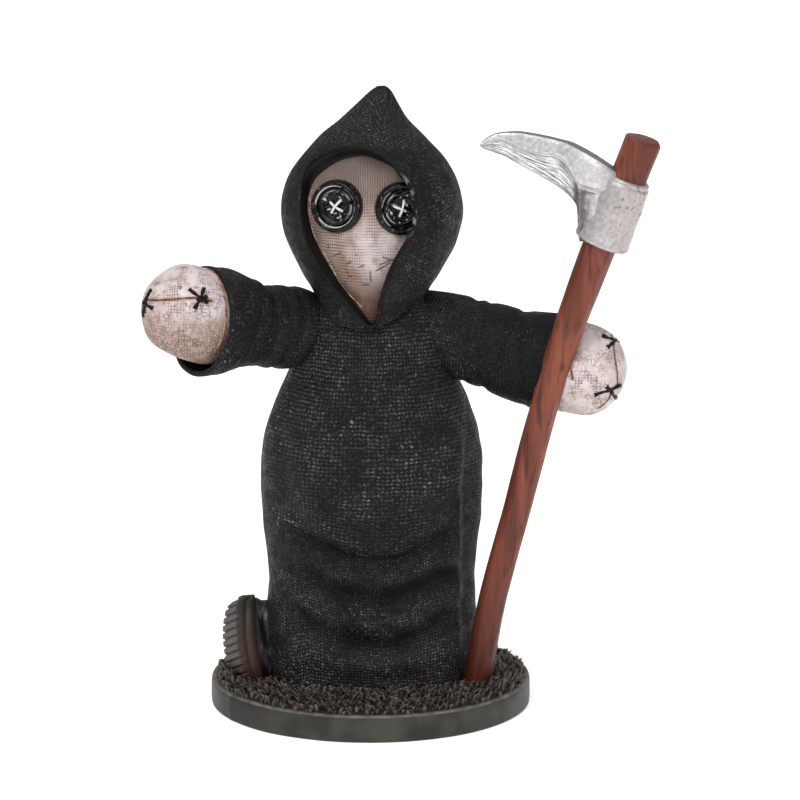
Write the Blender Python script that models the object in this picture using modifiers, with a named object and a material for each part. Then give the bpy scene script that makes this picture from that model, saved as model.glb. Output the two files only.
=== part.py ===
"""Grim reaper figurine: a small painted resin doll in a hooded robe, on a round turf base, with its scythe.

Metres, +Z up, origin at the middle of the base's underside, the doll facing -Y. The base, the scythe's
shaft and what fits together have their own sizes. The doll's pose, proportions and drapery are shares of
its height, written in hundredths of FIGURE_HEIGHT from the middle of the base's top.
"""
import math

import bmesh
import bpy
from mathutils import Matrix, Vector

# Driving dimensions, in metres
FIGURE_HEIGHT = 0.105
BASE_RADIUS = 0.0282
BASE_HEIGHT = 0.0048
BASE_EDGE_ROUND = 0.0004
BASE_RIM_WIDTH = 0.0007
TURF_LIFT = 0.0004
TURF_RELIEF = 0.00045
TURF_CLUMP = 0.0029
SHAFT_FOOT_RADIUS = 0.0024
SHAFT_TOP_RADIUS = 0.0031
SHAFT_SEAT_DEPTH = 0.0012
SHAFT_CLEARANCE = 0.0003
SOCKET_WALL = 0.0011
SOCKET_LENGTH = 0.0121
SOCKET_FLARE = 0.0007
BLADE_LENGTH = 0.0231
BUTTON_RADIUS = 0.0046
BUTTON_THICKNESS = 0.0013

# How finely the forms are cut into facets
ROBE_SIDES = 42
HOOD_SIDES = 38
SLEEVE_SIDES = 22
HAND_SIDES = 18
BASE_SIDES = 52
BUTTON_SIDES = 20
BOOT_SIDES = 14
SHAFT_SIDES = 12

UNIT = FIGURE_HEIGHT / 100

# Robe, in hundredths of the height: pairs of height and reach
ROBE_MIDDLE = 0.25
ROBE_HALF_WIDTH = [(-3, 17.4), (9, 17.75), (17.5, 17.3), (26.6, 18.2), (34, 18.6), (39, 18.35),
                   (44, 17.3), (49, 15.4), (53, 13.6), (58, 12.3), (63, 10.6), (67, 7.0), (69, 3.5)]
ROBE_FRONT_REACH = [(-3, 12.6), (10, 12.4), (22, 12.3), (36, 13.6), (46, 12.4), (55, 10.6),
                    (62, 9.4), (67, 6.0), (69, 3.0)]
ROBE_BACK_REACH = [(-3, 13.6), (12, 12.6), (30, 11.6), (45, 11.0), (56, 10.4), (63, 9.0),
                   (67, 6.0), (69, 3.0)]
ROBE_SQUARENESS = 2.45
ROBE_RINGS = [-2.5, 0.6, 2.6, 4.2, 5.8, 7.5, 9.1, 10.7, 12.1, 13.6, 15.2, 16.8, 18.4, 20.0, 21.6, 23.2, 25.2,
              28, 31.5, 35, 38.5, 42, 45, 48, 51, 54, 56.4, 58, 59.6, 62.5, 65, 67.2, 69]

# Turf rings as shares of its radius
TURF_RINGS = [0.985, 0.938, 0.876, 0.811, 0.727, 0.5]

# Swags: each hangs in a curve, lowest in the middle of the front
SWAG_LOWEST = 0.8
SWAG_RISE = 0.040
SWAG_SPACING = 7.7
SWAG_VALLEY = 15.2
SWAG_DEPTH = 0.95

# Hood, in the head's own frame
HOOD_TURN = math.radians(-10)
FACE_TURN = math.radians(-4)
HEAD_PIVOT = (0.35, 0.6)
HOOD_HALF_WIDTH = [(60, 8.6), (63, 8.9), (66, 9.5), (69.2, 11.5), (72.6, 13.4), (76, 14.6), (79.8, 15.1),
                   (83.5, 14.4), (87.5, 12.3), (91, 9.15), (94.3, 5.65), (97.5, 3.0), (99.3, 1.5), (100, 0.5)]
HOOD_FRONT_REACH = [(60, 11.0), (63, 12.6), (68, 13.6), (74, 14.4), (80, 14.4), (86, 12.8), (91, 9.6),
                    (94.3, 6.3), (97.5, 3.2), (99.3, 1.5), (100, 0.5)]
HOOD_BACK_REACH = [(60, 7.5), (66, 9.0), (72, 12.6), (79, 14.6), (86, 13.2), (91, 9.8), (94.3, 6.6),
                   (97.5, 3.4), (99.3, 1.6), (100, 0.5)]
HOOD_PEAK = 100
HOOD_PEAK_LENGTH = 8
HOOD_PEAK_SHIFT = (1.4, 1.2)
HOOD_LOWEST = 61.3
HOOD_NECK = 62.8
HOOD_NECK_REACH = (8.8, 10.5)
HOOD_HEM_REACH = 9.0
HOOD_HEM_RISE = 0.052
HOOD_HEM_BACK = 63.5
HOOD_LAYERS = 17

# Hood opening: its edge seen from the front, in the head's frame, and how far its cut reaches
OPENING_EDGE = [(8.9, 81.6), (8.1, 84.6), (6.4, 87.15), (4.0, 89.3), (1.2, 90.6), (-1.9, 90.85), (-5.0, 90.1),
                (-7.9, 88.6), (-9.6, 86.1), (-9.85, 82.3), (-9.4, 78.8), (-8.3, 75.0), (-6.4, 71.7), (-4.0, 68.6),
                (-1.1, 65.5), (1.0, 62.9), (2.0, 62.1), (2.9, 63.3), (3.5, 66.6), (4.2, 69.2), (5.5, 72.5),
                (7.1, 75.4), (8.6, 78.3)]
OPENING_SIDES = 46
OPENING_FRONT = 22
OPENING_BACK = 6.0

# Face: reaches of a smooth doll's head behind the opening
FACE_FRONT_REACH = [(58, 9.0), (63, 10.9), (70, 11.3), (78, 11.0), (86, 9.4), (91, 6.6), (94, 2.5)]
FACE_HALF_WIDTH = [(58, 4.4), (62, 5.2), (66, 6.8), (70, 9.0), (74, 11.2), (82, 12.2), (88, 10.6), (92, 7.0),
                   (94, 2.5)]
FACE_RINGS = [58, 62, 66, 70, 74, 78, 82, 86, 89, 91.5, 94]
FACE_SIDES = 26

# Button eyes: across and up, and how far each face turns to its own side
BUTTON_PLACES = [(-5.0, 81.4, math.radians(16)), (5.5, 81.1, math.radians(-16))]
BUTTON_TIP = math.radians(4)

# Arms: stations of centre and radius, from the shoulder to the cuff
LEFT_SLEEVE = [((-5, 0.5, 59.4), 5.4), ((-11.5, -2.0, 60.0), 6.7), ((-17.0, -5.3, 60.7), 7.0),
               ((-22.5, -9.0, 62.2), 7.9), ((-27.0, -12.2, 62.9), 9.1)]
RIGHT_SLEEVE = [((5, 1.2, 60.2), 5.8), ((12.0, -0.6, 59.0), 6.5), ((18.5, -2.3, 57.4), 7.1),
                ((24.5, -3.9, 55.6), 7.6), ((30.4, -5.3, 54.4), 8.5)]
LEFT_HAND = [(-25.0, -10.8, 62.2), (-30.0, -14.3, 65.1)]
RIGHT_HAND = [(28.6, -4.8, 54.6), (35.2, -6.6, 53.8)]
HAND_RADIUS = 7.3
HAND_STRETCH = 1.05
CUFF_RECESS = 1.2
CUFF_LIP = 0.5
CUFF_DROOP = 0.07
SLEEVE_RINGS = 11

# Boot: the sole stands on edge beside the hem, its tread facing outward
BOOT_PLACE = (-20.5, -1.8, 5.9)
BOOT_TURN = math.radians(18)
BOOT_LEAN = math.radians(20)
BOOT_HALF_LENGTH = 8.0
BOOT_HALF_WIDTH = 5.0
SOLE_THICKNESS = 2.9
TREAD_DEPTH = 0.5
TREAD_RIBS = 12
UPPER_DEPTH = 6.5

# Scythe: the shaft's middle line as pairs of height and place across, leaning forward as it rises
SHAFT_LINE = [(-2, 17.5), (15, 20.4), (32, 24.6), (46, 28.0), (60, 31.9), (73.5, 36.5), (84, 40.6), (94, 44.4)]
SHAFT_FOOT = -6.6
SHAFT_LEAN = -0.111
SHAFT_TOP = 93.7
SHAFT_RINGS = 17
SOCKET_TOP = 87.3

# Blade: heights above the socket's middle, from the point at 0 to the socket at 1
BLADE_BACK = [(0, 10.6), (0.03, 11.4), (0.07, 12.0), (0.115, 12.45), (0.185, 12.7), (0.285, 12.8), (0.385, 12.5),
              (0.49, 12.05), (0.59, 11.5), (0.675, 11.0), (0.75, 10.2), (0.82, 9.35), (0.885, 8.45), (1.0, 6.7)]
BLADE_EDGE = [(0, 10.45), (0.022, 10.0), (0.07, 9.6), (0.12, 9.2), (0.19, 8.65), (0.257, 7.75), (0.335, 6.8),
              (0.45, 5.4), (0.59, 3.45), (0.628, 2.75), (0.672, 1.85), (0.699, 1.15), (0.717, 0.45), (0.718, 0.3),
              (0.726, -4.3), (0.756, -5.0), (1.0, -5.6)]
BLADE_HALF_THICKNESS = [(0, 0.35), (0.1, 0.6), (0.4, 1.1), (0.7, 1.8), (0.85, 2.7), (1.0, 3.2)]
BLADE_SHARES = [0, 0.03, 0.08, 0.15, 0.24, 0.34, 0.44, 0.54, 0.63, 0.69, 0.717, 0.727, 0.76, 0.82, 0.9, 1.0]
BLADE_DROP = 5.2

ROBE_COLOUR = (0.012, 0.012, 0.013, 1)
WOOD_COLOUR = (0.145, 0.045, 0.032, 1)


def clear_scene():
    for old in list(bpy.data.objects):
        bpy.data.objects.remove(old, do_unlink=True)


def make_collection(name):
    collection = bpy.data.collections.new(name)
    bpy.context.scene.collection.children.link(collection)
    return collection


def make_material(name, colour, roughness, metallic):
    material = bpy.data.materials.new(name)
    material.use_nodes = True
    shader = material.node_tree.nodes["Principled BSDF"]
    shader.inputs["Base Color"].default_value = colour
    shader.inputs["Roughness"].default_value = roughness
    shader.inputs["Metallic"].default_value = metallic
    return material


def place(x, y, z):
    """A point in metres from shares of the height, measured from the middle of the base's top."""
    return Vector((x, y, z)) * UNIT + Vector((0, 0, BASE_HEIGHT))


def smooth_step(low, high, value):
    t = min(max((value - low) / (high - low), 0.0), 1.0)
    return t * t * (3 - 2 * t)


def bell(value, width):
    return math.exp(-(value / width) ** 2)


def signed_power(value, power):
    return math.copysign(abs(value) ** power, value)


def hermite(before, start, end, after, t):
    """A smooth value or point between start and end, shaped by its neighbours."""
    a = (end - before) * 0.5
    b = (after - start) * 0.5
    return (start * (2 * t ** 3 - 3 * t ** 2 + 1) + a * (t ** 3 - 2 * t ** 2 + t)
            + end * (3 * t ** 2 - 2 * t ** 3) + b * (t ** 3 - t ** 2))


def reading(pairs, key):
    """Reads a smooth curve through pairs of key and value."""
    if key <= pairs[0][0]:
        return pairs[0][1]
    for i in range(len(pairs) - 1):
        k0, v0 = pairs[i]
        k1, v1 = pairs[i + 1]
        if key <= k1:
            t = (key - k0) / (k1 - k0)
            slope_in = (v1 - v0) / (k1 - k0)
            slope_out = slope_in
            if i > 0:
                slope_in = (v1 - pairs[i - 1][1]) / (k1 - pairs[i - 1][0])
            if i + 2 < len(pairs):
                slope_out = (pairs[i + 2][1] - v0) / (pairs[i + 2][0] - k0)
            before = v1 - 2 * slope_in * (k1 - k0)
            after = v0 + 2 * slope_out * (k1 - k0)
            return hermite(before, v0, v1, after, t)
    return pairs[-1][1]


def along(points, t):
    """A point at share t of a smooth line through the given points."""
    last = len(points) - 1
    i = min(int(t * last), last - 1)
    before = points[max(i - 1, 0)]
    after = points[min(i + 2, last)]
    return hermite(before, points[i], points[i + 1], after, t * last - i)


def loop(points, t):
    """A point at share t of a smooth closed line through the given points."""
    count = len(points)
    i = int(t * count) % count
    near = [Vector(points[(i + k) % count]) for k in (-1, 0, 1, 2)]
    return hermite(*near, t * count - int(t * count))


def cross_frame(direction, up=Vector((0, 0, 1))):
    """Two axes across a direction: one level, one upward."""
    level = direction.cross(up).normalized()
    return level, level.cross(direction).normalized()


def mesh_object(name, work, collection):
    bmesh.ops.recalc_face_normals(work, faces=work.faces)
    mesh = bpy.data.meshes.new(name)
    work.to_mesh(mesh)
    work.free()
    mesh.shade_smooth()
    made = bpy.data.objects.new(name, mesh)
    collection.objects.link(made)
    return made


def skin(name, rings, collection):
    """Skins rings of equal length into one closed body, capped with a fan at each end."""
    work = bmesh.new()
    rows = [[work.verts.new(point) for point in ring] for ring in rings]
    count = len(rings[0])
    for lower, upper in zip(rows, rows[1:]):
        for i in range(count):
            j = (i + 1) % count
            work.faces.new((lower[i], lower[j], upper[j], upper[i]))
    for ring, row in ((rings[0], rows[0]), (rings[-1], rows[-1])):
        middle = work.verts.new(sum(ring, Vector()) / count)
        for i in range(count):
            work.faces.new((row[i], row[(i + 1) % count], middle))
    return mesh_object(name, work, collection)


def robe_relief(x, z, level):
    """How far the robe's front stands out at a place: the belly, its creases and the swags below."""
    belly = 1.3 * smooth_step(1.08, 0.80, math.hypot((x - 0.6) / 14.6, (z - 39.5) / 17.5))
    swag = -SWAG_DEPTH * math.cos(2 * math.pi * (level - SWAG_VALLEY) / SWAG_SPACING)
    swag *= smooth_step(25.0, 21.8, level) * smooth_step(1.5, 6.0, level)
    swag *= smooth_step(16.0, 10.5, abs(x - SWAG_LOWEST))
    chest = -0.5 * bell(z - 58.0 + 0.07 * (x - 2.3) ** 2, 0.9) * smooth_step(8.0, 4.5, abs(x - 2.3))
    side_step = -1.1 * smooth_step(14.4, 16.2, x) * smooth_step(46, 36, z)
    return belly + swag + chest + side_step


def back_relief(x, z):
    """Soft vertical folds down the robe's back."""
    return 0.5 * math.cos(x * 0.62) * smooth_step(58, 30, z)


def robe_point(angle, level):
    """A point of the robe: its rings bend with the swags on the front."""
    half_width = reading(ROBE_HALF_WIDTH, level)
    across = math.cos(angle)
    deep = math.sin(angle)
    x = half_width * signed_power(across, 2 / ROBE_SQUARENESS)
    hang = smooth_step(0.0, 4.0, level) * smooth_step(34.0, 25.0, level) * smooth_step(0.1, -0.5, deep)
    z = level + SWAG_RISE * (x - SWAG_LOWEST) ** 2 * hang
    x *= reading(ROBE_HALF_WIDTH, z) / half_width
    reach = reading(ROBE_FRONT_REACH, z) if deep < 0 else reading(ROBE_BACK_REACH, z)
    y = reach * signed_power(deep, 2 / ROBE_SQUARENESS)
    relief = robe_relief(x, z, level) if deep < 0 else back_relief(x, z)
    relief *= smooth_step(0.0, 0.45, abs(deep))
    outward = Vector((x / half_width ** 2, y / reach ** 2, 0)).normalized()
    return Vector((x + ROBE_MIDDLE, y, z)) + outward * relief


def make_robe(collection):
    turn = 2 * math.pi / ROBE_SIDES
    rings = [[place(*robe_point(turn * i, level)) for i in range(ROBE_SIDES)] for level in ROBE_RINGS]
    return skin("robe", rings, collection)


def turned_head(x, y, z, turn=HOOD_TURN):
    """Turns a point of the head's frame about the neck, still in shares."""
    turned = Matrix.Rotation(turn, 3, "Z") @ Vector((x, y, z))
    return turned + Vector((HEAD_PIVOT[0], HEAD_PIVOT[1], 0))


def hood_point(angle, layer):
    """A point of the hood: layer 0 is its hem, layer 1 its peak."""
    across = math.cos(angle)
    deep = math.sin(angle)
    hem = HOOD_LOWEST + HOOD_HEM_RISE * (HOOD_HEM_REACH * across) ** 2
    if deep > 0:
        hem += (HOOD_HEM_BACK - HOOD_LOWEST) * deep
    z = hem + (HOOD_PEAK - hem) * layer ** 0.82
    reach = reading(HOOD_FRONT_REACH, z) if deep < 0 else reading(HOOD_BACK_REACH, z)
    peak = smooth_step(HOOD_PEAK - HOOD_PEAK_LENGTH, HOOD_PEAK + 1, z)
    return turned_head(reading(HOOD_HALF_WIDTH, z) * across + HOOD_PEAK_SHIFT[0] * peak,
                       reach * deep + HOOD_PEAK_SHIFT[1] * peak, z)


def make_hood(collection):
    turn = 2 * math.pi / HOOD_SIDES
    rings = []
    for tuck in (0.55, 0.88):
        ring = []
        for i in range(HOOD_SIDES):
            x = HOOD_NECK_REACH[0] * tuck * math.cos(turn * i)
            y = HOOD_NECK_REACH[1] * tuck * math.sin(turn * i)
            ring.append(place(*turned_head(x, y, HOOD_NECK)))
        rings.append(ring)
    for layer in range(HOOD_LAYERS + 1):
        rings.append([place(*hood_point(turn * i, layer / HOOD_LAYERS)) for i in range(HOOD_SIDES)])
    return skin("hood", rings, collection)


def make_opening_cutter(collection):
    """A straight prism with the opening's outline, through the hood's front and into its hollow."""
    rings = []
    for y in (-OPENING_FRONT, -OPENING_BACK):
        ring = []
        for i in range(OPENING_SIDES):
            x, z = loop(OPENING_EDGE, i / OPENING_SIDES)
            ring.append(place(*turned_head(x, y, z)))
        rings.append(ring)
    return skin("opening_cutter", rings, collection)


def face_surface(x, z):
    """How far forward the face is at a place, in the head's frame."""
    half_width = reading(FACE_HALF_WIDTH, z)
    inside = max(1 - (x / half_width) ** 2, 0.0)
    return -reading(FACE_FRONT_REACH, z) * inside ** 0.42


def make_face(collection):
    rings = []
    for z in FACE_RINGS:
        ring = []
        for i in range(FACE_SIDES):
            angle = 2 * math.pi * i / FACE_SIDES
            x = reading(FACE_HALF_WIDTH, z) * signed_power(math.cos(angle), 0.9)
            y = face_surface(x, z) if math.sin(angle) < 0 else 4.0 * math.sin(angle)
            ring.append(place(*turned_head(x, y, z, FACE_TURN)))
        rings.append(ring)
    return skin("face", rings, collection)


def button_frame(across, up, turn):
    """Where a button sits on the face, with its axis pointing out of its front."""
    facing = Matrix.Rotation(FACE_TURN - turn, 4, "Z") @ Matrix.Rotation(math.pi / 2 - BUTTON_TIP, 4, "X")
    seat = turned_head(across, face_surface(across, up), up, FACE_TURN)
    return Matrix.Translation(place(*seat)) @ facing


def make_button(index, collection):
    """A round button turned from its profile, from the front's middle to the back's middle."""
    r = BUTTON_RADIUS
    t = BUTTON_THICKNESS
    profile = [(0, 0.35), (0.48, 0.35), (0.56, 0.55), (0.66, 0.55), (0.74, 0.80), (0.86, 1.0), (0.97, 0.72),
               (1.0, 0.2), (0.94, -2.4), (0, -2.4)]
    mesh = bpy.data.meshes.new("button")
    points = [(r * across, 0, t * high) for across, high in profile]
    mesh.from_pydata(points, [(i, i + 1) for i in range(len(points) - 1)], [])
    made = bpy.data.objects.new("button_%d" % index, mesh)
    collection.objects.link(made)
    screw = made.modifiers.new("turn", "SCREW")
    screw.steps = BUTTON_SIDES
    screw.render_steps = BUTTON_SIDES
    screw.use_merge_vertices = True
    screw.merge_threshold = 0.00001
    made.matrix_world = button_frame(*BUTTON_PLACES[index])
    return made


def sleeve_rings(stations):
    """Rings round an arm, from the shoulder to the cuff, then back in round the wrist."""
    centres = [Vector(centre) for centre, radius in stations]
    radii = [radius for centre, radius in stations]
    rings = []
    axis = (centres[-1] - centres[-2]).normalized()

    def ring(centre, radius, direction, droop):
        level, upward = cross_frame(direction)
        points = []
        for i in range(SLEEVE_SIDES):
            angle = 2 * math.pi * i / SLEEVE_SIDES
            low = -math.sin(angle)
            point = centre + level * radius * math.cos(angle) + upward * radius * math.sin(angle)
            points.append(place(*(point + direction * droop * radius * low)))
        return points

    for i in range(SLEEVE_RINGS):
        t = i / (SLEEVE_RINGS - 1)
        centre = along(centres, t)
        radius = along(radii, t)
        direction = (along(centres, min(t + 0.02, 1)) - along(centres, max(t - 0.02, 0))).normalized()
        rings.append(ring(centre, radius, direction, CUFF_DROOP * t))
    rings.append(ring(centres[-1], radii[-1] - CUFF_LIP, axis, CUFF_DROOP))
    rings.append(ring(centres[-1] - axis * CUFF_RECESS, radii[-1] - CUFF_LIP * 1.6, axis, CUFF_DROOP))
    return rings


def hand_rings(wrist, palm):
    """A rounded stump that fills the cuff and closes like the end of an egg."""
    palm = Vector(palm)
    axis = (palm - Vector(wrist)).normalized()
    level, upward = cross_frame(axis)
    rings = []
    steps = [(-1.3, 0.80), (-0.85, 0.93), (-0.4, 0.99), (0.0, 1.0), (0.30, 0.955), (0.56, 0.83), (0.78, 0.62),
             (0.93, 0.36), (0.985, 0.16)]
    for ahead, size in steps:
        centre = palm + axis * ahead * HAND_RADIUS
        ring = []
        for i in range(HAND_SIDES):
            angle = 2 * math.pi * i / HAND_SIDES
            across = level * math.cos(angle) + upward * math.sin(angle) * HAND_STRETCH
            ring.append(place(*(centre + across * HAND_RADIUS * size)))
        rings.append(ring)
    return rings


def boot_frame():
    """The boot's frame: X out of the tread, Y across the sole, Z from heel to toe."""
    return (Matrix.Translation(place(*BOOT_PLACE)) @ Matrix.Rotation(BOOT_TURN, 4, "Z")
            @ Matrix.Rotation(math.pi, 4, "Z") @ Matrix.Rotation(BOOT_LEAN, 4, "X"))


def sole_half_width(share):
    """The sole's half width along its length, heel at -1, toe at 1."""
    return BOOT_HALF_WIDTH * max(1 - abs(share) ** 3.0, 0.0) ** 0.5 * (1 + 0.08 * share)


def make_boot(collection):
    """The sole with its tread ribs, and the upper behind it, as two bodies."""
    frame = boot_frame()
    rings = []
    count = 4 * TREAD_RIBS
    for i in range(count + 1):
        share = -0.97 + 1.94 * i / count
        half = sole_half_width(share)
        rib = 0.0 if i % 4 == 3 else TREAD_DEPTH
        bow = 1.4 * share ** 2
        outer = SOLE_THICKNESS + rib - bow
        z = share * BOOT_HALF_LENGTH
        corners = [(-bow, -half), (outer - 0.5, -half), (outer, -half + 0.5), (outer, half - 0.5),
                   (outer - 0.5, half), (-bow, half)]
        rings.append([frame @ (Vector((x, y, z)) * UNIT) for x, y in corners])
    sole = skin("sole", rings, collection)
    rings = []
    for i in range(9):
        t = i / 8
        size = 0.90 - 0.30 * t
        x = 0.8 - UPPER_DEPTH * t
        ring = []
        for k in range(BOOT_SIDES):
            angle = 2 * math.pi * k / BOOT_SIDES
            crease = 1 + 0.03 * math.sin(3 * angle + 9 * t)
            y = BOOT_HALF_WIDTH * size * crease * signed_power(math.cos(angle), 0.8)
            z = BOOT_HALF_LENGTH * size * crease * signed_power(math.sin(angle), 0.8)
            ring.append(frame @ (Vector((x - 1.2 * (z / BOOT_HALF_LENGTH) ** 2, y, z)) * UNIT))
        rings.append(ring)
    return [sole, skin("boot_upper", rings, collection)]


def turf(x, y):
    """The turf's bumps, in metres of height: clumps about TURF_CLUMP across."""
    a = 2 * math.pi * x / TURF_CLUMP
    b = 2 * math.pi * y / TURF_CLUMP
    clump = math.sin(1.06 * a + 1.3 * math.sin(0.88 * b)) * math.sin(0.97 * b + 1.7 * math.sin(0.69 * a))
    return TURF_LIFT + TURF_RELIEF * clump


def make_base(collection):
    """The round base as rings from the middle of its underside, up the side, to the middle of its turf."""
    rings = []
    e = BASE_EDGE_ROUND
    profile = [(0.35 * BASE_RADIUS, 0), (BASE_RADIUS - e, 0), (BASE_RADIUS, e), (BASE_RADIUS, BASE_HEIGHT - e / 2),
               (BASE_RADIUS - e / 2, BASE_HEIGHT), (BASE_RADIUS - BASE_RIM_WIDTH, BASE_HEIGHT)]
    for radius, height in profile:
        rings.append([Vector((radius * math.cos(a), radius * math.sin(a), height))
                      for a in [2 * math.pi * i / BASE_SIDES for i in range(BASE_SIDES)]])
    inner = BASE_RADIUS - BASE_RIM_WIDTH
    for share in TURF_RINGS:
        radius = inner * share
        ring = []
        for i in range(BASE_SIDES):
            angle = 2 * math.pi * i / BASE_SIDES
            x = radius * math.cos(angle)
            y = radius * math.sin(angle)
            ring.append(Vector((x, y, BASE_HEIGHT + turf(x, y))))
        rings.append(ring)
    return skin("base", rings, collection)


def shaft_centre(height):
    """The middle of the shaft at a height, in shares."""
    return Vector((reading(SHAFT_LINE, height), SHAFT_FOOT + SHAFT_LEAN * height, height))


def shaft_direction(height):
    return (shaft_centre(height + 0.5) - shaft_centre(height - 0.5)).normalized()


def shaft_ring(height, extra):
    """One ring round the shaft's middle line, its radius grown by extra metres."""
    swell = SHAFT_TOP_RADIUS - SHAFT_FOOT_RADIUS
    radius = SHAFT_FOOT_RADIUS + swell * smooth_step(45, SHAFT_TOP, height) + extra
    level, upward = cross_frame(shaft_direction(height))
    ring = []
    for k in range(SHAFT_SIDES):
        angle = 2 * math.pi * k / SHAFT_SIDES
        across = level * math.cos(angle) + upward * math.sin(angle)
        ring.append(place(*shaft_centre(height)) + across * radius)
    return ring


def make_shaft(name, extra, foot, collection):
    """The shaft from its level foot to its top, with the top's edge softened."""
    rings = [shaft_ring(SHAFT_TOP * i / SHAFT_RINGS, extra) for i in range(SHAFT_RINGS + 1)]
    for point in rings[0]:
        point.z = foot
    rings.insert(-1, shaft_ring(SHAFT_TOP - 0.6, extra))
    rings[-1] = shaft_ring(SHAFT_TOP, extra - 0.15 * SHAFT_TOP_RADIUS)
    return skin(name, rings, collection)


def make_blade(collection):
    """A bevelled blade that grows from its point into the socket's side."""
    root = shaft_centre(SOCKET_TOP - BLADE_DROP)
    length = BLADE_LENGTH / UNIT
    rings = []
    for share in BLADE_SHARES:
        back = root.z + reading(BLADE_BACK, share)
        edge = root.z + reading(BLADE_EDGE, share)
        thick = reading(BLADE_HALF_THICKNESS, share)
        x = root.x - length * (1 - share)
        blunt = 0.08 + 0.42 * smooth_step(0.69, 0.76, share)
        section = [(0.03, 0.45), (0.0, 0.25), (0.0, -0.25), (0.03, -0.45), (0.34, -1.0), (1.0, -blunt),
                   (1.0, blunt), (0.34, 1.0)]
        ring = []
        for down, out in section:
            ring.append(place(x, root.y - 0.6 * (1 - share) + out * thick, back + (edge - back) * down))
        rings.append(ring)
    return skin("blade", rings, collection)


def make_socket(collection):
    """The sleeve of the scythe's head round the shaft, flared to its foot, with a small lip at its top."""
    low = SOCKET_TOP - SOCKET_LENGTH / UNIT * 0.93
    steps = [(0.0, -0.6), (0.0, 0.85), (0.04, 1.0), (0.45, 1.02), (0.92, 1.0), (0.94, 0.75), (1.0, 0.7),
             (1.0, -0.6)]
    rings = []
    for share, wall in steps:
        flare = SOCKET_FLARE * (1 - share) if wall > 0 else 0.0
        rings.append(shaft_ring(low + (SOCKET_TOP - low) * share, SOCKET_WALL * wall + flare))
    return skin("socket", rings, collection)


def apply_modifiers(made):
    """Swaps an object's mesh for its evaluated one."""
    ready = made.evaluated_get(bpy.context.evaluated_depsgraph_get())
    mesh = bpy.data.meshes.new_from_object(ready)
    made.modifiers.clear()
    made.data = mesh
    made.data.transform(made.matrix_world)
    made.matrix_world = Matrix.Identity(4)


def combine(target, other, operation):
    """Joins or cuts the target with the other body, which is then removed."""
    step = target.modifiers.new(operation.lower(), "BOOLEAN")
    step.operation = operation
    step.solver = "EXACT"
    step.object = other
    bpy.context.view_layer.update()
    apply_modifiers(target)
    bpy.data.objects.remove(other, do_unlink=True)


def clean(made, distance=0.00002):
    """Removes the slivers that the joins leave, and makes every face a triangle."""
    work = bmesh.new()
    work.from_mesh(made.data)
    bmesh.ops.remove_doubles(work, verts=work.verts, dist=distance)
    bmesh.ops.triangulate(work, faces=work.faces)
    work.to_mesh(made.data)
    work.free()
    made.data.shade_smooth()
    made.data.set_sharp_from_angle(angle=math.radians(38))


def make_figure(parts, tools):
    """The doll and its base, cast as one: robe, hood, face, button eyes, sleeves, hands, boot and turf."""
    figure = make_hood(parts)
    combine(figure, make_opening_cutter(tools), "DIFFERENCE")
    combine(figure, make_face(tools), "UNION")
    for index in range(len(BUTTON_PLACES)):
        button = make_button(index, tools)
        apply_modifiers(button)
        combine(figure, button, "UNION")
    combine(figure, make_robe(tools), "UNION")
    for sleeve, hand in ((LEFT_SLEEVE, LEFT_HAND), (RIGHT_SLEEVE, RIGHT_HAND)):
        combine(figure, skin("sleeve", sleeve_rings(sleeve), tools), "UNION")
        combine(figure, skin("hand", hand_rings(*hand), tools), "UNION")
    for piece in make_boot(tools):
        combine(figure, piece, "UNION")
    combine(figure, make_base(tools), "UNION")
    seat = BASE_HEIGHT - SHAFT_SEAT_DEPTH
    combine(figure, make_shaft("seat_cutter", SHAFT_CLEARANCE, seat, tools), "DIFFERENCE")
    clean(figure)
    figure.name = "figure_and_base"
    figure.data.materials.append(make_material("painted_resin", ROBE_COLOUR, 0.6, 0.0))
    return figure


def make_scythe(parts, tools):
    """The scythe, glued into its seat in the base: shaft and head."""
    foot = BASE_HEIGHT - SHAFT_SEAT_DEPTH + SHAFT_CLEARANCE
    scythe = make_shaft("scythe", 0.0, foot, parts)
    combine(scythe, make_socket(tools), "UNION")
    combine(scythe, make_blade(tools), "UNION")
    clean(scythe)
    scythe.name = "scythe"
    scythe.data.materials.append(make_material("painted_wood", WOOD_COLOUR, 0.55, 0.0))
    return scythe


clear_scene()
parts = make_collection("grim_reaper_figurine")
tools = make_collection("shapes_for_joins")
make_figure(parts, tools)
make_scythe(parts, tools)
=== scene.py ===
"""The grim reaper figurine dressed for its photograph: burlap robe and hood, stitched hands, button eyes,
scythe, boot and turf base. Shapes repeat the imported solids, with finer relief, in metres and +Z up.
Doll sizes are in hundredths of its height, from the middle of the base's top."""
import math
import random

import bmesh
import bpy
import numpy as np
from mathutils import Matrix, Vector, noise


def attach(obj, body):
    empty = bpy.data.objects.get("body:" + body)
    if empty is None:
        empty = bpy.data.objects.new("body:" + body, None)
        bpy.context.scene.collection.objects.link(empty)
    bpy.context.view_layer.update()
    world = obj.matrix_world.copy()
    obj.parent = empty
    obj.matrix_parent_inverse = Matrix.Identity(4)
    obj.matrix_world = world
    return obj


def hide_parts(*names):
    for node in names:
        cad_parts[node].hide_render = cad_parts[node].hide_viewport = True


# Sizes shared with the solids
FIGURE_HEIGHT = 0.105
UNIT = FIGURE_HEIGHT / 100
BASE_RADIUS = 0.0282
BASE_HEIGHT = 0.0048
BASE_EDGE_ROUND = 0.0005
BASE_RIM_WIDTH = 0.0007
MOULD_LINE = math.radians(210.5)
TURF_LIFT = 0.0004
TURF_RELIEF = 0.00045
GRASS_SPACING = 0.00092
SHAFT_FOOT_RADIUS = 0.0024
SHAFT_TOP_RADIUS = 0.0031
SOCKET_WALL = 0.0011
SOCKET_LENGTH = 0.0121
SOCKET_FLARE = 0.0007
BLADE_LENGTH = 0.0231
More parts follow.
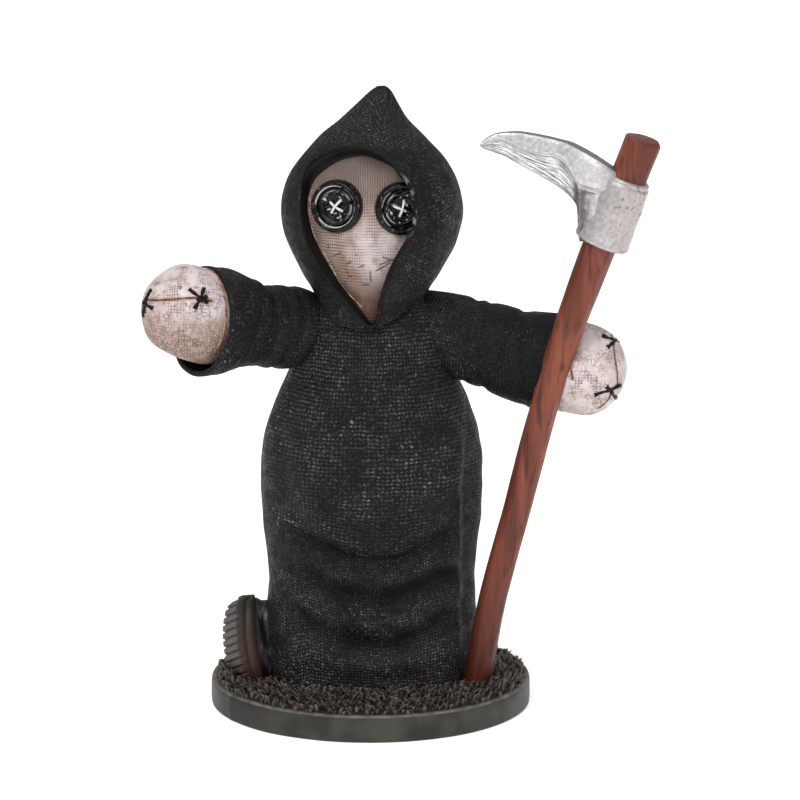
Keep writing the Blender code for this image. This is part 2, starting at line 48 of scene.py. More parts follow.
BUTTON_RADIUS = 0.0046
BUTTON_THICKNESS = 0.0013

ROBE_MIDDLE = 0.25
ROBE_HALF_WIDTH = [(-3, 17.4), (9, 17.75), (17.5, 17.3), (26.6, 18.2), (34, 18.6), (39, 18.35),
                   (44, 17.3), (49, 15.4), (53, 13.6), (58, 12.3), (63, 10.6), (67, 7.0), (69, 3.5)]
ROBE_FRONT_REACH = [(-3, 12.6), (10, 12.4), (22, 12.3), (36, 13.6), (46, 12.4), (55, 10.6),
                    (62, 9.4), (67, 6.0), (69, 3.0)]
ROBE_BACK_REACH = [(-3, 13.6), (12, 12.6), (30, 11.6), (45, 11.0), (56, 10.4), (63, 9.0),
                   (67, 6.0), (69, 3.0)]
ROBE_SQUARENESS = 2.45
SWAG_LOWEST = 0.8
SWAG_RISE = 0.040
SWAG_REACH = 190
SWAG_SPACING = 7.7
SWAG_VALLEY = 15.2
SWAG_DEPTH = 0.95

HOOD_TURN = math.radians(-10)
FACE_TURN = math.radians(-4)
HEAD_PIVOT = (0.35, 0.6)
HOOD_HALF_WIDTH = [(60, 8.6), (63, 8.9), (66, 9.5), (69.2, 11.5), (72.6, 13.4), (76, 14.6), (79.8, 15.1),
                   (83.5, 14.4), (87.5, 12.3), (91, 9.15), (94.3, 5.65), (97.5, 3.0), (99.3, 1.5), (100, 0.5)]
HOOD_FRONT_REACH = [(60, 11.0), (63, 12.6), (68, 13.6), (74, 14.4), (80, 14.4), (86, 12.8), (91, 9.6),
                    (94.3, 6.3), (97.5, 3.2), (99.3, 1.5), (100, 0.5)]
HOOD_BACK_REACH = [(60, 7.5), (66, 9.0), (72, 12.6), (79, 14.6), (86, 13.2), (91, 9.8), (94.3, 6.6),
                   (97.5, 3.4), (99.3, 1.6), (100, 0.5)]
HOOD_PEAK_SHIFT = (1.4, 1.2)
HOOD_LOWEST = 61.3
HOOD_HEM_RISE = 0.052
HOOD_HEM_BACK = 63.5
RIM_RADIUS = 0.30
OPENING_EDGE = [(8.9, 81.6), (8.1, 84.6), (6.4, 87.15), (4.0, 89.3), (1.2, 90.6), (-1.9, 90.85), (-5.0, 90.1),
                (-7.9, 88.6), (-9.6, 86.1), (-9.85, 82.3), (-9.4, 78.8), (-8.3, 75.0), (-6.4, 71.7), (-4.0, 68.6),
                (-1.1, 65.5), (1.0, 62.9), (2.0, 62.1), (2.9, 63.3), (3.5, 66.6), (4.2, 69.2), (5.5, 72.5),
                (7.1, 75.4), (8.6, 78.3)]

FACE_FRONT_REACH = [(58, 9.0), (63, 10.9), (70, 11.3), (78, 11.0), (86, 9.4), (91, 6.6), (94, 2.5)]
FACE_HALF_WIDTH = [(58, 4.4), (62, 5.2), (66, 6.8), (70, 9.0), (74, 11.2), (82, 12.2), (88, 10.6), (92, 7.0),
                   (94, 2.5)]
BUTTON_PLACES = [(-5.0, 81.4, math.radians(16)), (5.5, 81.1, math.radians(-16))]
BUTTON_TIP = math.radians(4)

LEFT_SLEEVE = [((-5, 0.5, 59.4), 5.4), ((-11.5, -2.0, 60.0), 6.7), ((-17.0, -5.3, 60.7), 7.0),
               ((-22.5, -9.0, 62.2), 7.9), ((-27.0, -12.2, 62.9), 9.1)]
RIGHT_SLEEVE = [((5, 1.2, 60.2), 5.8), ((12.0, -0.6, 59.0), 6.5), ((18.5, -2.3, 57.4), 7.1),
                ((24.5, -3.9, 55.6), 7.6), ((30.4, -5.3, 54.4), 8.5)]
LEFT_HAND = [(-25.0, -10.8, 62.2), (-30.0, -14.3, 65.1)]
RIGHT_HAND = [(28.6, -4.8, 54.6), (35.2, -6.6, 53.8)]
HAND_RADIUS = 7.3
HAND_STRETCH = 1.05
HAND_PROFILE = [(-1.3, 0.80), (-0.85, 0.93), (-0.4, 0.99), (0.0, 1.0), (0.30, 0.955), (0.56, 0.83),
                (0.78, 0.62), (0.93, 0.36), (0.985, 0.16), (1.0, 0.01)]
CUFF_LIP = 0.5
CUFF_DROOP = 0.07

BOOT_PLACE = (-20.5, -1.8, 5.9)
BOOT_TURN = math.radians(18)
BOOT_LEAN = math.radians(20)
BOOT_HALF_LENGTH = 8.0
BOOT_HALF_WIDTH = 5.0
SOLE_THICKNESS = 2.9
TREAD_DEPTH = 0.5
TREAD_RIBS = 12
UPPER_DEPTH = 6.5

SHAFT_LINE = [(-2, 17.5), (15, 20.4), (32, 24.6), (46, 28.0), (60, 31.9), (73.5, 36.5), (84, 40.6), (94, 44.4)]
SHAFT_FOOT = -6.6
SHAFT_LEAN = -0.111
SHAFT_TOP = 93.7
SOCKET_TOP = 87.3
BLADE_BACK = [(0, 10.6), (0.03, 11.4), (0.07, 12.0), (0.115, 12.45), (0.185, 12.7), (0.285, 12.8), (0.385, 12.5),
              (0.49, 12.05), (0.59, 11.5), (0.675, 11.0), (0.75, 10.2), (0.82, 9.35), (0.885, 8.45), (1.0, 6.7)]
BLADE_EDGE = [(0, 10.45), (0.022, 10.0), (0.07, 9.6), (0.12, 9.2), (0.19, 8.65), (0.257, 7.75), (0.335, 6.8),
              (0.45, 5.4), (0.59, 3.45), (0.628, 2.75), (0.672, 1.85), (0.699, 1.15), (0.717, 0.45), (0.718, 0.3),
              (0.726, -4.3), (0.756, -5.0), (1.0, -5.6)]
BLADE_HALF_THICKNESS = [(0, 0.35), (0.1, 0.6), (0.4, 1.1), (0.7, 1.8), (0.85, 2.7), (1.0, 3.2)]
BLADE_DROP = 5.2

# Weave: how far apart its threads are and how far they stand out, in metres, how many go round the robe,
# and how much closer they are below its fold
ROW_PITCH = 0.00072
HOOD_PITCH = 0.00056
WEAVE_DEPTH = 0.00004
ROBE_THREADS = 132
FINER_BELOW = 1.38
FACE_PITCH = 0.00052

# Soft lumps in each surface, in metres
ROBE_LUMPS = 0.0002
HOOD_LUMPS = 0.00022
FACE_LUMPS = 0.00008
SLEEVE_LUMPS = 0.00018
HAND_LUMPS = 0.00022

# Strands: half their thickness, in metres
CORD_RADIUS = 0.00008
STITCH_RADIUS = 0.00037
CUFF_LINE_RADIUS = 0.00019

# Light: the sky's strength low and high, the sun's strength, two soft lamps in watts, the floor's own glow,
# and the place that the lamps are aimed at
SKY_LOW = 0.24
SKY_HIGH = 0.78
SUN_STRENGTH = 1.15
KEY_POWER = 1.3
FILL_POWER = 0.35
FLOOR_GLOW = 0.42
LAMPS_AIM = (0, 0, 0.055)

# The camera that matches the photograph
CAMERA_PLACE = (0.00522, -0.7629, 0.21442)
CAMERA_TILT = math.radians(78.15)
CAMERA_LENS = 200
PHOTO_PIXELS = 800
FOCAL_PIXELS = 4444.4


def place(x, y, z):
    """A point in metres from shares of the height."""
    return Vector((x, y, z)) * UNIT + Vector((0, 0, BASE_HEIGHT))


def smooth_step(low, high, value):
    """A soft step from 0 to 1, for a number or a whole array."""
    t = (value - low) / (high - low)
    t = np.clip(t, 0.0, 1.0) if isinstance(t, np.ndarray) else min(max(t, 0.0), 1.0)
    return t * t * (3 - 2 * t)


def bell(value, width):
    return math.exp(-(value / width) ** 2)


def signed_power(value, power):
    return math.copysign(abs(value) ** power, value)


def hermite(before, start, end, after, t):
    """A smooth value or point between start and end, shaped by its neighbours."""
    a = (end - before) * 0.5
    b = (after - start) * 0.5
    return (start * (2 * t ** 3 - 3 * t ** 2 + 1) + a * (t ** 3 - 2 * t ** 2 + t)
            + end * (3 * t ** 2 - 2 * t ** 3) + b * (t ** 3 - t ** 2))


def reading(pairs, key):
    """Reads a smooth curve through pairs of key and value."""
    if key <= pairs[0][0]:
        return pairs[0][1]
    for i in range(len(pairs) - 1):
        k0, v0 = pairs[i]
        k1, v1 = pairs[i + 1]
        if key <= k1:
            t = (key - k0) / (k1 - k0)
            slope_in = (v1 - v0) / (k1 - k0)
            slope_out = slope_in
            if i > 0:
                slope_in = (v1 - pairs[i - 1][1]) / (k1 - pairs[i - 1][0])
            if i + 2 < len(pairs):
                slope_out = (pairs[i + 2][1] - v0) / (pairs[i + 2][0] - k0)
            before = v1 - 2 * slope_in * (k1 - k0)
            after = v0 + 2 * slope_out * (k1 - k0)
            return hermite(before, v0, v1, after, t)
    return pairs[-1][1]


def along(points, t):
    """A point at share t of a smooth line through the given points."""
    last = len(points) - 1
    i = min(int(t * last), last - 1)
    before = points[max(i - 1, 0)]
    after = points[min(i + 2, last)]
    return hermite(before, points[i], points[i + 1], after, t * last - i)


def loop(points, t):
    """A point at share t of a smooth closed line through the given points."""
    count = len(points)
    i = int(t * count) % count
    near = [Vector(points[(i + k) % count]) for k in (-1, 0, 1, 2)]
    return hermite(*near, t * count - int(t * count))


def cross_frame(direction, up=Vector((0, 0, 1))):
    """Two axes across a direction: one level, one upward."""
    level = direction.cross(up).normalized()
    return level, level.cross(direction).normalized()


def turns(count, start=0.0):
    """Even angles once round."""
    return [start + 2 * math.pi * i / count for i in range(count)]


def round_noise(angle, scale, height):
    """A soft random number at a place round an axis."""
    return noise.noise(Vector((math.cos(angle) * scale, math.sin(angle) * scale, height)))


def turned_head(x, y, z, turn=HOOD_TURN):
    """Turns a point of the head's frame about the neck, still in shares."""
    turned = Matrix.Rotation(turn, 3, "Z") @ Vector((x, y, z))
    return turned + Vector((HEAD_PIVOT[0], HEAD_PIVOT[1], 0))


# Grids: rows of points in metres, each row one ring or one open line

def lengths(points):
    """Running length along a line of points."""
    steps = np.linalg.norm(np.diff(points, axis=0), axis=1)
    return np.concatenate([[0.0], np.cumsum(steps)])


def resample(points, count, closed):
    """The same line cut into even steps."""
    line = np.vstack([points, points[:1]]) if closed else points
    run = lengths(line)
    wanted = np.linspace(0, run[-1], count + 1 if closed else count)
    made = np.stack([np.interp(wanted, run, line[:, k]) for k in range(3)], axis=1)
    return made[:-1] if closed else made


def normals(grid, closed):
    """The direction out of a grid at each of its points."""
    if closed:
        across = np.roll(grid, -1, axis=1) - np.roll(grid, 1, axis=1)
    else:
        across = np.gradient(grid, axis=1)
    out = np.cross(across, np.gradient(grid, axis=0))
    size = np.linalg.norm(out, axis=2, keepdims=True)
    return out / np.maximum(size, 1e-12)


def raise_by(grid, amount, closed):
    """Moves each point of a grid along its normal by an amount in metres."""
    return grid + normals(grid, closed) * amount[..., None]


def even_keys(point_at, low, high, step):
    """Keys between low and high whose points are an even step apart."""
    keys = np.linspace(low, high, 600)
    run = lengths(np.array([point_at(key) for key in keys]))
    count = max(int(round(run[-1] / step)), 2)
    return np.interp(np.linspace(0, run[-1], count + 1), run, keys)


def add_object(name, data):
    """A new object in the scene."""
    made = bpy.data.objects.new(name, data)
    bpy.context.scene.collection.objects.link(made)
    return made


def mesh_piece(name, points, faces, uvs):
    """A smooth mesh with its thread counts as UVs."""
    mesh = bpy.data.meshes.new(name)
    mesh.from_pydata([tuple(point) for point in points], [], faces)
    layer = mesh.uv_layers.new(name="threads")
    layer.data.foreach_set("uv", np.array(uvs, dtype=np.float32).ravel())
    mesh.shade_smooth()
    return add_object(name, mesh)


def grid_piece(name, grid, threads, closed=True, cap_start=False, cap_end=False):
    """A mesh from a grid; threads gives the thread counts across and along at each point, for its UVs."""
    rows, columns = grid.shape[:2]
    points = list(grid.reshape(-1, 3))
    faces = []
    uvs = []
    last = columns if closed else columns - 1
    for j in range(rows - 1):
        for i in range(last):
            k = (i + 1) % columns
            faces.append((j * columns + i, j * columns + k, (j + 1) * columns + k, (j + 1) * columns + i))
            uvs += [threads[j, i], threads[j, i + 1], threads[j + 1, i + 1], threads[j + 1, i]]
    for wanted, row in ((cap_start, 0), (cap_end, rows - 1)):
        if wanted:
            points.append(grid[row].mean(axis=0))
            for i in range(last):
                k = (i + 1) % columns
                corners = [row * columns + i, row * columns + k, len(points) - 1]
                corner_uvs = [threads[row, i], threads[row, i + 1], threads[row, i]]
                if row == 0:
                    corners.reverse()
                    corner_uvs.reverse()
                faces.append(tuple(corners))
                uvs += corner_uvs
    return mesh_piece(name, points, faces, uvs)


def counts(rows, columns, across, down):
    """Thread counts that grow evenly across a ring and down the rows."""
    u = np.tile(np.linspace(0, across, columns + 1), (rows, 1))
    v = np.tile(np.linspace(0, down, rows)[:, None], (1, columns + 1))
    return np.stack([u, v], axis=2)


def egg_crate(rows, columns):
    """Thread tops in straight columns, for a grid that has two points to each thread and each row."""
    j, i = np.mgrid[0:rows, 0:columns]
    top = (i % 2 == 1) & (j % 2 == 1)
    between = (i % 2 == 0) & (j % 2 == 1)
    return np.where(top, 1.0, np.where(between, -0.1, -0.55))


def rough(grid, scale, seed):
    """Soft random heights between about -1 and 1 over a grid."""
    shift = Vector((seed, seed * 0.7, seed * 1.3))
    flat = [noise.noise(Vector(point) * scale + shift) for point in grid.reshape(-1, 3)]
    return np.array(flat).reshape(grid.shape[:2])


def mark_points(piece, values):
    """Stores one number for each point of a piece in the attribute named mark."""
    mark = piece.data.attributes.new("mark", "FLOAT", "POINT")
    mark.data.foreach_set("value", np.asarray(values, dtype=np.float32).ravel())


def dress(piece, material, node="figure_and_base"):
    """Gives a piece its finish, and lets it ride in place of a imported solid."""
    piece.data.materials.append(material)
    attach(piece, "root")
    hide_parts(node)
    return piece


def ring_piece(name, rings, across, down, material, slot, node="figure_and_base", **caps):
    """A dressed piece made of rings; across and down are its thread counts."""
    grid = np.array(rings)
    return dress(grid_piece(name, grid, counts(*grid.shape[:2], across, down), **caps), material, node)


def tube(name, line, radius, sides, closed=False):
    """A round strand along a line of points; radius is one value or one for each point."""
    line = np.array(line)
    count = len(line)
    radii = np.full(count, radius) if np.isscalar(radius) else np.array(radius)
    rings = []
    turn = None
    for i in range(count):
        ahead = line[(i + 1) % count] if closed else line[min(i + 1, count - 1)]
        behind = line[i - 1] if closed or i > 0 else line[0]
        direction = Vector(ahead - behind).normalized()
        if turn is None:
            turn = direction.orthogonal().normalized()
        turn = (turn - direction * turn.dot(direction)).normalized()
        side = direction.cross(turn)
        ways = [turn * math.cos(angle) + side * math.sin(angle) for angle in turns(sides)]
        rings.append([Vector(line[i]) + way * radii[i] for way in ways])
    if closed:
        rings.append(rings[0])
    grid = np.array(rings)
    run = lengths(grid[:, 0])[-1]
    threads = counts(len(grid), sides, 1.0, run / ROW_PITCH)
    return grid_piece(name, grid, threads, cap_start=not closed, cap_end=not closed)


# Robe

def swag_share(level, x):
    """How much of the swags there is at a place of the robe, or at an array of them."""
    fade = smooth_step(25.0, 21.8, level) * smooth_step(1.5, 6.0, level)
    return fade * smooth_step(16.0, 10.5, abs(x - SWAG_LOWEST))


def robe_relief(x, z, level):
    """How far the robe's front stands out at a place: the belly, its creases and the swags below."""
    belly = 1.3 * smooth_step(1.08, 0.80, math.hypot((x - 0.6) / 14.6, (z - 39.5) / 17.5))
    swag = -SWAG_DEPTH * math.cos(2 * math.pi * (level - SWAG_VALLEY) / SWAG_SPACING) * swag_share(level, x)
    chest = -0.5 * bell(z - 58.0 + 0.07 * (x - 2.3) ** 2, 0.9) * smooth_step(8.0, 4.5, abs(x - 2.3))
    side_step = -1.1 * smooth_step(14.4, 16.2, x) * smooth_step(46, 36, z)
    return belly + swag + chest + side_step


def back_relief(x, z):
    """Soft vertical folds down the robe's back."""
    return 0.5 * math.cos(x * 0.62) * smooth_step(58, 30, z)


def robe_point(angle, level):
    """A point of the robe: its rings bend with the swags on the front."""
    half_width = reading(ROBE_HALF_WIDTH, level)
    across = math.cos(angle)
    deep = math.sin(angle)
    x = half_width * signed_power(across, 2 / ROBE_SQUARENESS)
    hang = smooth_step(0.0, 8.0, level) * smooth_step(35.0, 24.0, level) * smooth_step(0.1, -0.5, deep)
    rise = SWAG_RISE * SWAG_REACH * (1 - math.exp(-(x - SWAG_LOWEST) ** 2 / SWAG_REACH))
    z = level + rise * hang
    x *= reading(ROBE_HALF_WIDTH, z) / half_width
    reach = reading(ROBE_FRONT_REACH, z) if deep < 0 else reading(ROBE_BACK_REACH, z)
    y = reach * signed_power(deep, 2 / ROBE_SQUARENESS)
    relief = robe_relief(x, z, level) if deep < 0 else back_relief(x, z)
    relief *= smooth_step(0.0, 0.45, abs(deep))
    outward = Vector((x / half_width ** 2, y / reach ** 2, 0)).normalized()
    return Vector((x + ROBE_MIDDLE, y, z)) + outward * relief


def make_robe(material):
    """The robe as rings of threads that bend with the swags."""
    front = -math.pi / 2
    levels = even_keys(lambda level: place(*robe_point(front, level)), -2.5, 66.0, ROW_PITCH / 2)
    columns = 2 * ROBE_THREADS
    rings = []
    for level in levels:
        ring = np.array([place(*robe_point(angle, level)) for angle in turns(200, math.pi / 2)])
        rings.append(resample(ring, columns, True))
    grid = np.array(rings)
    rows = len(grid)
    worn = 0.8 + 0.45 * rough(grid, 180, 3.0)
    above = np.array(levels)[:, None] > SWAG_VALLEY + SWAG_SPACING
    crate = WEAVE_DEPTH * worn * egg_crate(rows, columns) * above
    grid = raise_by(grid, ROBE_LUMPS * rough(grid, 260, 9.0) + crate, True)
    threads = counts(rows, columns, ROBE_THREADS, rows / 2)
    steps = np.linalg.norm(np.diff(grid, axis=0), axis=2)
    down = np.concatenate([np.zeros((1, columns)), np.cumsum(steps[::-1], axis=0)])[::-1] / ROW_PITCH
    down = down[:1].mean() - down
    threads[:, :, 1] = 0.5 * threads[:, :, 1] + 0.5 * np.concatenate([down, down[:, :1]], axis=1)
    threads *= np.where(above, 1.0, FINER_BELOW)[:, :, None]
    robe = grid_piece("robe", grid, threads)
    x = grid[:, :, 0] / UNIT - ROBE_MIDDLE
    level = np.array(levels)[:, None]
    # Painted shade: the mark is how deep in a swag's valley each front point lies; the robe's paint darkens
    # there.
    valley = 0.5 + 0.5 * np.cos(2 * math.pi * (level - SWAG_VALLEY) / SWAG_SPACING)
    mark_points(robe, valley * swag_share(level, x) * (grid[:, :, 1] < 0))
    dress(robe, material)


# Hood

def hood_point(angle, layer):
    """A point of the hood: layer 0 is its hem, layer 1 its peak."""
    across = math.cos(angle)
    deep = math.sin(angle)
    side = 9.0 * across
    hem = HOOD_LOWEST + HOOD_HEM_RISE * side ** 2 + (HOOD_HEM_BACK - HOOD_LOWEST) * max(deep, 0.0)
    z = hem + (100 - hem) * layer ** 0.82
    reach = reading(HOOD_FRONT_REACH, z) if deep < 0 else reading(HOOD_BACK_REACH, z)
    peak = smooth_step(92, 101, z)
    return Vector((reading(HOOD_HALF_WIDTH, z) * across + HOOD_PEAK_SHIFT[0] * peak,
                   reach * deep + HOOD_PEAK_SHIFT[1] * peak, z))


def hood_front(x, z):
    """How far forward the hood's front is at a place, in the head's frame."""
    peak = smooth_step(92, 101, z)
    share = min(abs((x - HOOD_PEAK_SHIFT[0] * peak) / reading(HOOD_HALF_WIDTH, z)), 1.0)
    return -reading(HOOD_FRONT_REACH, z) * math.sqrt(1 - share ** 2) + HOOD_PEAK_SHIFT[1] * peak


def opening_line(grow, count=160):
    """The opening's edge in the head's frame, moved outward by grow, as x and z."""
    line = np.array([loop(OPENING_EDGE, i / count) for i in range(count)])
    ahead = np.roll(line, -1, axis=0) - np.roll(line, 1, axis=0)
    out = np.stack([ahead[:, 1], -ahead[:, 0]], axis=1)
    out /= np.linalg.norm(out, axis=1, keepdims=True)
    grow = np.full(count, grow) if np.isscalar(grow) else grow
    return line + out * grow[:, None]


def face_depth(x, z):
    """How far back the face is behind a place of the hood's opening, in the hood's frame."""
    deep = -8.0
    for step in range(3):
        seen = Matrix.Rotation(HOOD_TURN - FACE_TURN, 3, "Z") @ Vector((x, deep, z))
        back = Vector((seen.x, face_surface(seen.x, z), z))
        deep = (Matrix.Rotation(FACE_TURN - HOOD_TURN, 3, "Z") @ back).y
    return deep


def inside_line(line, x, z):
    """Whether each place is inside a closed line."""
    inside = np.zeros(x.shape, dtype=bool)
    for (x0, z0), (x1, z1) in zip(line, np.roll(line, -1, axis=0)):
        crosses = (z0 > z) != (z1 > z)
        with np.errstate(divide="ignore", invalid="ignore"):
            at = (x1 - x0) * (z - z0) / (z1 - z0) + x0
        inside ^= crosses & (x < at)
    return inside


# Where the hood's lining ends, seen through the opening: a place in the head's frame, round the opening
LINING_EDGE = [(9.0, 81.4), (8.2, 84.3), (6.2, 86.0), (4.6, 87.85), (0.6, 89.3), (-1.9, 89.15), (-4.3, 88.35),
               (-6.6, 86.75), (-8.3, 84.9), (-9.35, 81.7), (-9.1, 78.9), (-7.9, 75.9), (-6.1, 72.6), (-4.0, 69.4),
               (-1.2, 66.1), (0.8, 63.6), (1.75, 62.3), (2.85, 63.45), (3.45, 66.6), (4.15, 69.2), (5.45, 72.5),
               (7.05, 75.4), (8.65, 78.3)]


def make_hood(material, rim_material, lining_material):
    """The hood's cloth with its opening left out, a rolled rim round the opening, and the lining behind."""
    layers = even_keys(lambda layer: hood_point(0, layer) * UNIT, 0.0, 0.995, HOOD_PITCH / 2)
    columns = 320
    angles = turns(180, math.pi / 2)
    rings = [np.array([hood_point(angle, layer) for angle in angles]) for layer in layers]
    flat = np.array([resample(ring, columns, True) for ring in rings])
    grid = np.array([[place(*turned_head(*point)) for point in ring] for ring in flat])
    closed = np.concatenate([grid, grid[:, :1]], axis=1)
    across = np.array([lengths(ring) - lengths(ring)[-1] / 2 for ring in closed]) / HOOD_PITCH
    steps = np.linalg.norm(np.diff(closed, axis=0), axis=2)
    down = np.concatenate([np.zeros((1, columns + 1)), np.cumsum(steps, axis=0)]) / HOOD_PITCH
    threads = np.stack([across, down], axis=2)
    weave = np.abs(np.sin(math.pi * across[:, :-1])) * np.abs(np.sin(math.pi * down[:, :-1]))
    grid = raise_by(grid, HOOD_LUMPS * rough(grid, 230, 21.0) + WEAVE_DEPTH * weave, True)
    hood = grid_piece("hood", grid, threads, cap_end=True)
    hole = opening_line(RIM_RADIUS)
    centres_x = (flat[:-1, :, 0] + np.roll(flat[:-1, :, 0], -1, axis=1)) / 2
    centres_z = (flat[:-1, :, 2] + flat[1:, :, 2]) / 2
    cut = inside_line(hole, centres_x, centres_z) & (flat[:-1, :, 1] < 0)
    drop_faces(hood, np.flatnonzero(cut.ravel()))
    dress(hood, material)

    rim = [place(*turned_head(x, hood_front(x, z) - 0.12, z)) for x, z in opening_line(RIM_RADIUS)]
    radii = [RIM_RADIUS * UNIT * (1 + 0.16 * noise.noise(Vector(point) * 420)) for point in rim]
    dress(tube("hood_rim", rim, radii, 16, True), rim_material)

    count = 160
    inner = [loop(LINING_EDGE, i / count) for i in range(count)]
    outer = opening_line(0.2, count)
    band = []
    for k in range(13):
        t = k / 12
        ring = []
        for i in range(count):
            x, z = outer[i] + (np.array(inner[i]) - outer[i]) * t
            front = hood_front(x, z) + 0.1
            deep = front + max(face_depth(x, z) - 0.35 - front, 0.0) * smooth_step(0.0, 0.9, t)
            ring.append(place(*turned_head(x, deep + (1.2 if k == 12 else 0.0), z)))
        band.append(ring)
    ring_piece("hood_lining", band, 90, 14, lining_material, "robe_black")


def drop_faces(piece, doomed):
    """Removes faces of a piece by their numbers."""
    work = bmesh.new()
    work.from_mesh(piece.data)
    work.faces.ensure_lookup_table()
    bmesh.ops.delete(work, geom=[work.faces[int(i)] for i in doomed], context="FACES")
    work.to_mesh(piece.data)
    work.free()


# Face

def face_surface(x, z):
    """How far forward the face is at a place, in the head's frame."""
    half_width = reading(FACE_HALF_WIDTH, z)
    inside = max(1 - (x / half_width) ** 2, 0.0)
    return -reading(FACE_FRONT_REACH, z) * inside ** 0.42


def face_point(share, z):
    """A point of the face; share runs from one temple to the other."""
    x = reading(FACE_HALF_WIDTH, z) * math.sin(share * math.pi / 2)
    return turned_head(x, face_surface(x, z), z, FACE_TURN)


def make_face(material, cord_material):
    """The burlap face, with cloth threads pressed into its lower part."""
    heights = even_keys(lambda z: place(*face_point(0, z)), 59.0, 93.6, FACE_PITCH / 4)
    columns = 250
    rows = []
    for z in heights:
        line = [place(*face_point(-0.985 + 1.97 * i / 90, z)) for i in range(91)]
        rows.append(resample(np.array(line), columns, False))
    grid = np.array(rows)
    across = np.array([lengths(row) - lengths(row)[-1] / 2 for row in grid]) / (0.80 * FACE_PITCH)
    down = np.tile((np.arange(len(grid)) / 4)[:, None], (1, columns))
    threads = np.stack([across, down], axis=2)
    z = (grid[:, :, 2] - BASE_HEIGHT) / UNIT
    cloth = np.clip((80.5 - z) / 3.5, 0.12, 1.0)
    weave = np.sin(2 * math.pi * across) * 0.5 + np.sin(2 * math.pi * down + math.pi / 4) * 0.8
    grid = raise_by(grid, 0.7 * WEAVE_DEPTH * weave * cloth + FACE_LUMPS * rough(grid, 420, 5.0), False)
    face = grid_piece("face", grid, threads, closed=False)
    lines = [face_line(face, line) for line in FACE_CRACKS]
    carve(face, lines, depth=0.00010, width=0.00008, stain_width=0.00011)
    dress(face, material)
    cord = np.array([np.array(point) + (0, -CORD_RADIUS, 0) for point in face_line(face, FACE_CORD)])
    radii = CORD_RADIUS * (1 + 0.45 * np.sin(np.arange(len(cord)) * 1.9))
    radii[[0, -1]] = CORD_RADIUS / 4
    dress(tube("face_cord", cord, radii, 8), cord_material)


# Lines read off the photograph, in its pixels
FACE_CRACKS = [
    [(376, 271), (381, 268.5), (386, 265.5), (391, 263)],
    [(380, 265), (385, 262.5), (392, 261)],
    [(383, 257), (388, 259.5), (395, 260)],
    [(359, 267), (364, 265.5)],
    [(346, 264), (351, 262)],
    [(328, 244), (328.5, 248)],
    [(333, 256), (340, 253.5)],
    [(348, 277), (352, 276)],
    [(370.3, 271.5), (370.6, 277), (371, 282)],
    [(363, 285), (369, 284.5)],
    [(347, 271.5), (348, 274)],
]
FACE_CORD = [(312.5, 188.5), (309.8, 197), (309, 208), (310, 222), (313.8, 235), (320, 247), (326.5, 257.5),
             (333, 270), (340, 283), (348, 293.5), (357.5, 302.5), (363, 308.5)]
LEFT_SEAMS = [
    [(143, 302), (149, 300), (158, 300.5), (167, 300), (176, 299.5), (184, 298.5), (196, 298), (202, 300),
     (212, 301)],
]
RIGHT_SEAMS = [
    [(611, 335), (613.5, 349), (615, 362), (617, 374), (617, 385), (611, 392)],
    [(611, 392), (609, 398), (604, 404), (598, 408)],
    [(569, 360), (571, 369), (573, 379)],
]
LEFT_CUFF_LINE = [(206, 268.5), (212, 271), (218, 278), (222.3, 288), (225, 300), (226, 313), (225.2, 326),
                  (222.5, 338), (217.5, 347.5)]
LEFT_STITCHES = [
    [(152, 290), (148, 294), (145, 299), (143.2, 306), (143, 312), (144, 317)],
    [(149, 294), (146.5, 299.5), (145, 306), (145, 313)],
    [(144, 303), (148.5, 306.5), (153, 308.5)],
    [(189, 289), (198, 296), (207.5, 302.5)],
    [(204, 288), (201, 298), (194.5, 309)],
    [(197, 299), (201.5, 300), (207, 296)],
]
RIGHT_STITCHES = [
    [(602, 336), (612, 339), (618, 341), (624, 348)],
    [(620.5, 336.5), (614, 342), (607.5, 347.5)],
    [(594.5, 395), (602, 392.5), (608, 391), (619.5, 385.5)],
    [(606.5, 386.5), (611, 392), (616.5, 398.5)],
]


def photo_ray(across, down):
    """The line of sight through a pixel of the photograph."""
    middle = PHOTO_PIXELS / 2
    ray = Vector((across - middle, middle - down, -FOCAL_PIXELS)).normalized()
    return Matrix.Rotation(CAMERA_TILT, 3, "X") @ ray


def on_piece(piece, across, down):
    """Where a pixel's line of sight meets a piece, and the way out of it there."""
    hit, where, out, index = piece.ray_cast(Vector(CAMERA_PLACE), photo_ray(across, down))
    return (where, out) if hit else (None, None)


def pixel_at(pixels, t):
    """A place along a line of pixels, t counted in its segments."""
    i = min(int(t), len(pixels) - 2)
    (x0, y0), (x1, y1) = pixels[i:i + 2]
    return x0 + (x1 - x0) * (t - i), y0 + (y1 - y0) * (t - i)


def face_line(piece, pixels, steps=6):
    """A line through pixels, laid on a piece."""
    shares = [k / steps for k in range(steps * (len(pixels) - 1) + 1)]
    met = [on_piece(piece, *pixel_at(pixels, t))[0] for t in shares]
    return [where for where in met if where is not None]


def vectors(items, name):
    """One vector for each vertex of a mesh, as an array."""
    flat = np.empty(len(items) * 3)
    items.foreach_get(name, flat)
    return flat.reshape(-1, 3)


def carve(piece, lines, depth, width, stain_width):
    """Presses lines into a piece, and marks how near each point is to one in the attribute named mark."""
    mesh = piece.data
    points = vectors(mesh.vertices, "co")
    out = vectors(mesh.vertex_normals, "vector")
    nearest = np.full(len(points), 1.0)
    for line in lines:
        for start, end in zip(line, line[1:]):
            a = np.array(start)
            ahead = np.array(end) - a
            size = max(float(ahead @ ahead), 1e-14)
            share = np.clip((points - a) @ ahead / size, 0, 1)
            nearest = np.minimum(nearest, np.linalg.norm(points - a - share[:, None] * ahead, axis=1))
    moved = points - out * (depth * np.exp(-(nearest / width) ** 2))[:, None]
    mesh.vertices.foreach_set("co", moved.ravel())
    mark_points(piece, np.exp(-(nearest / stain_width) ** 2))
    mesh.update()


# Button eyes

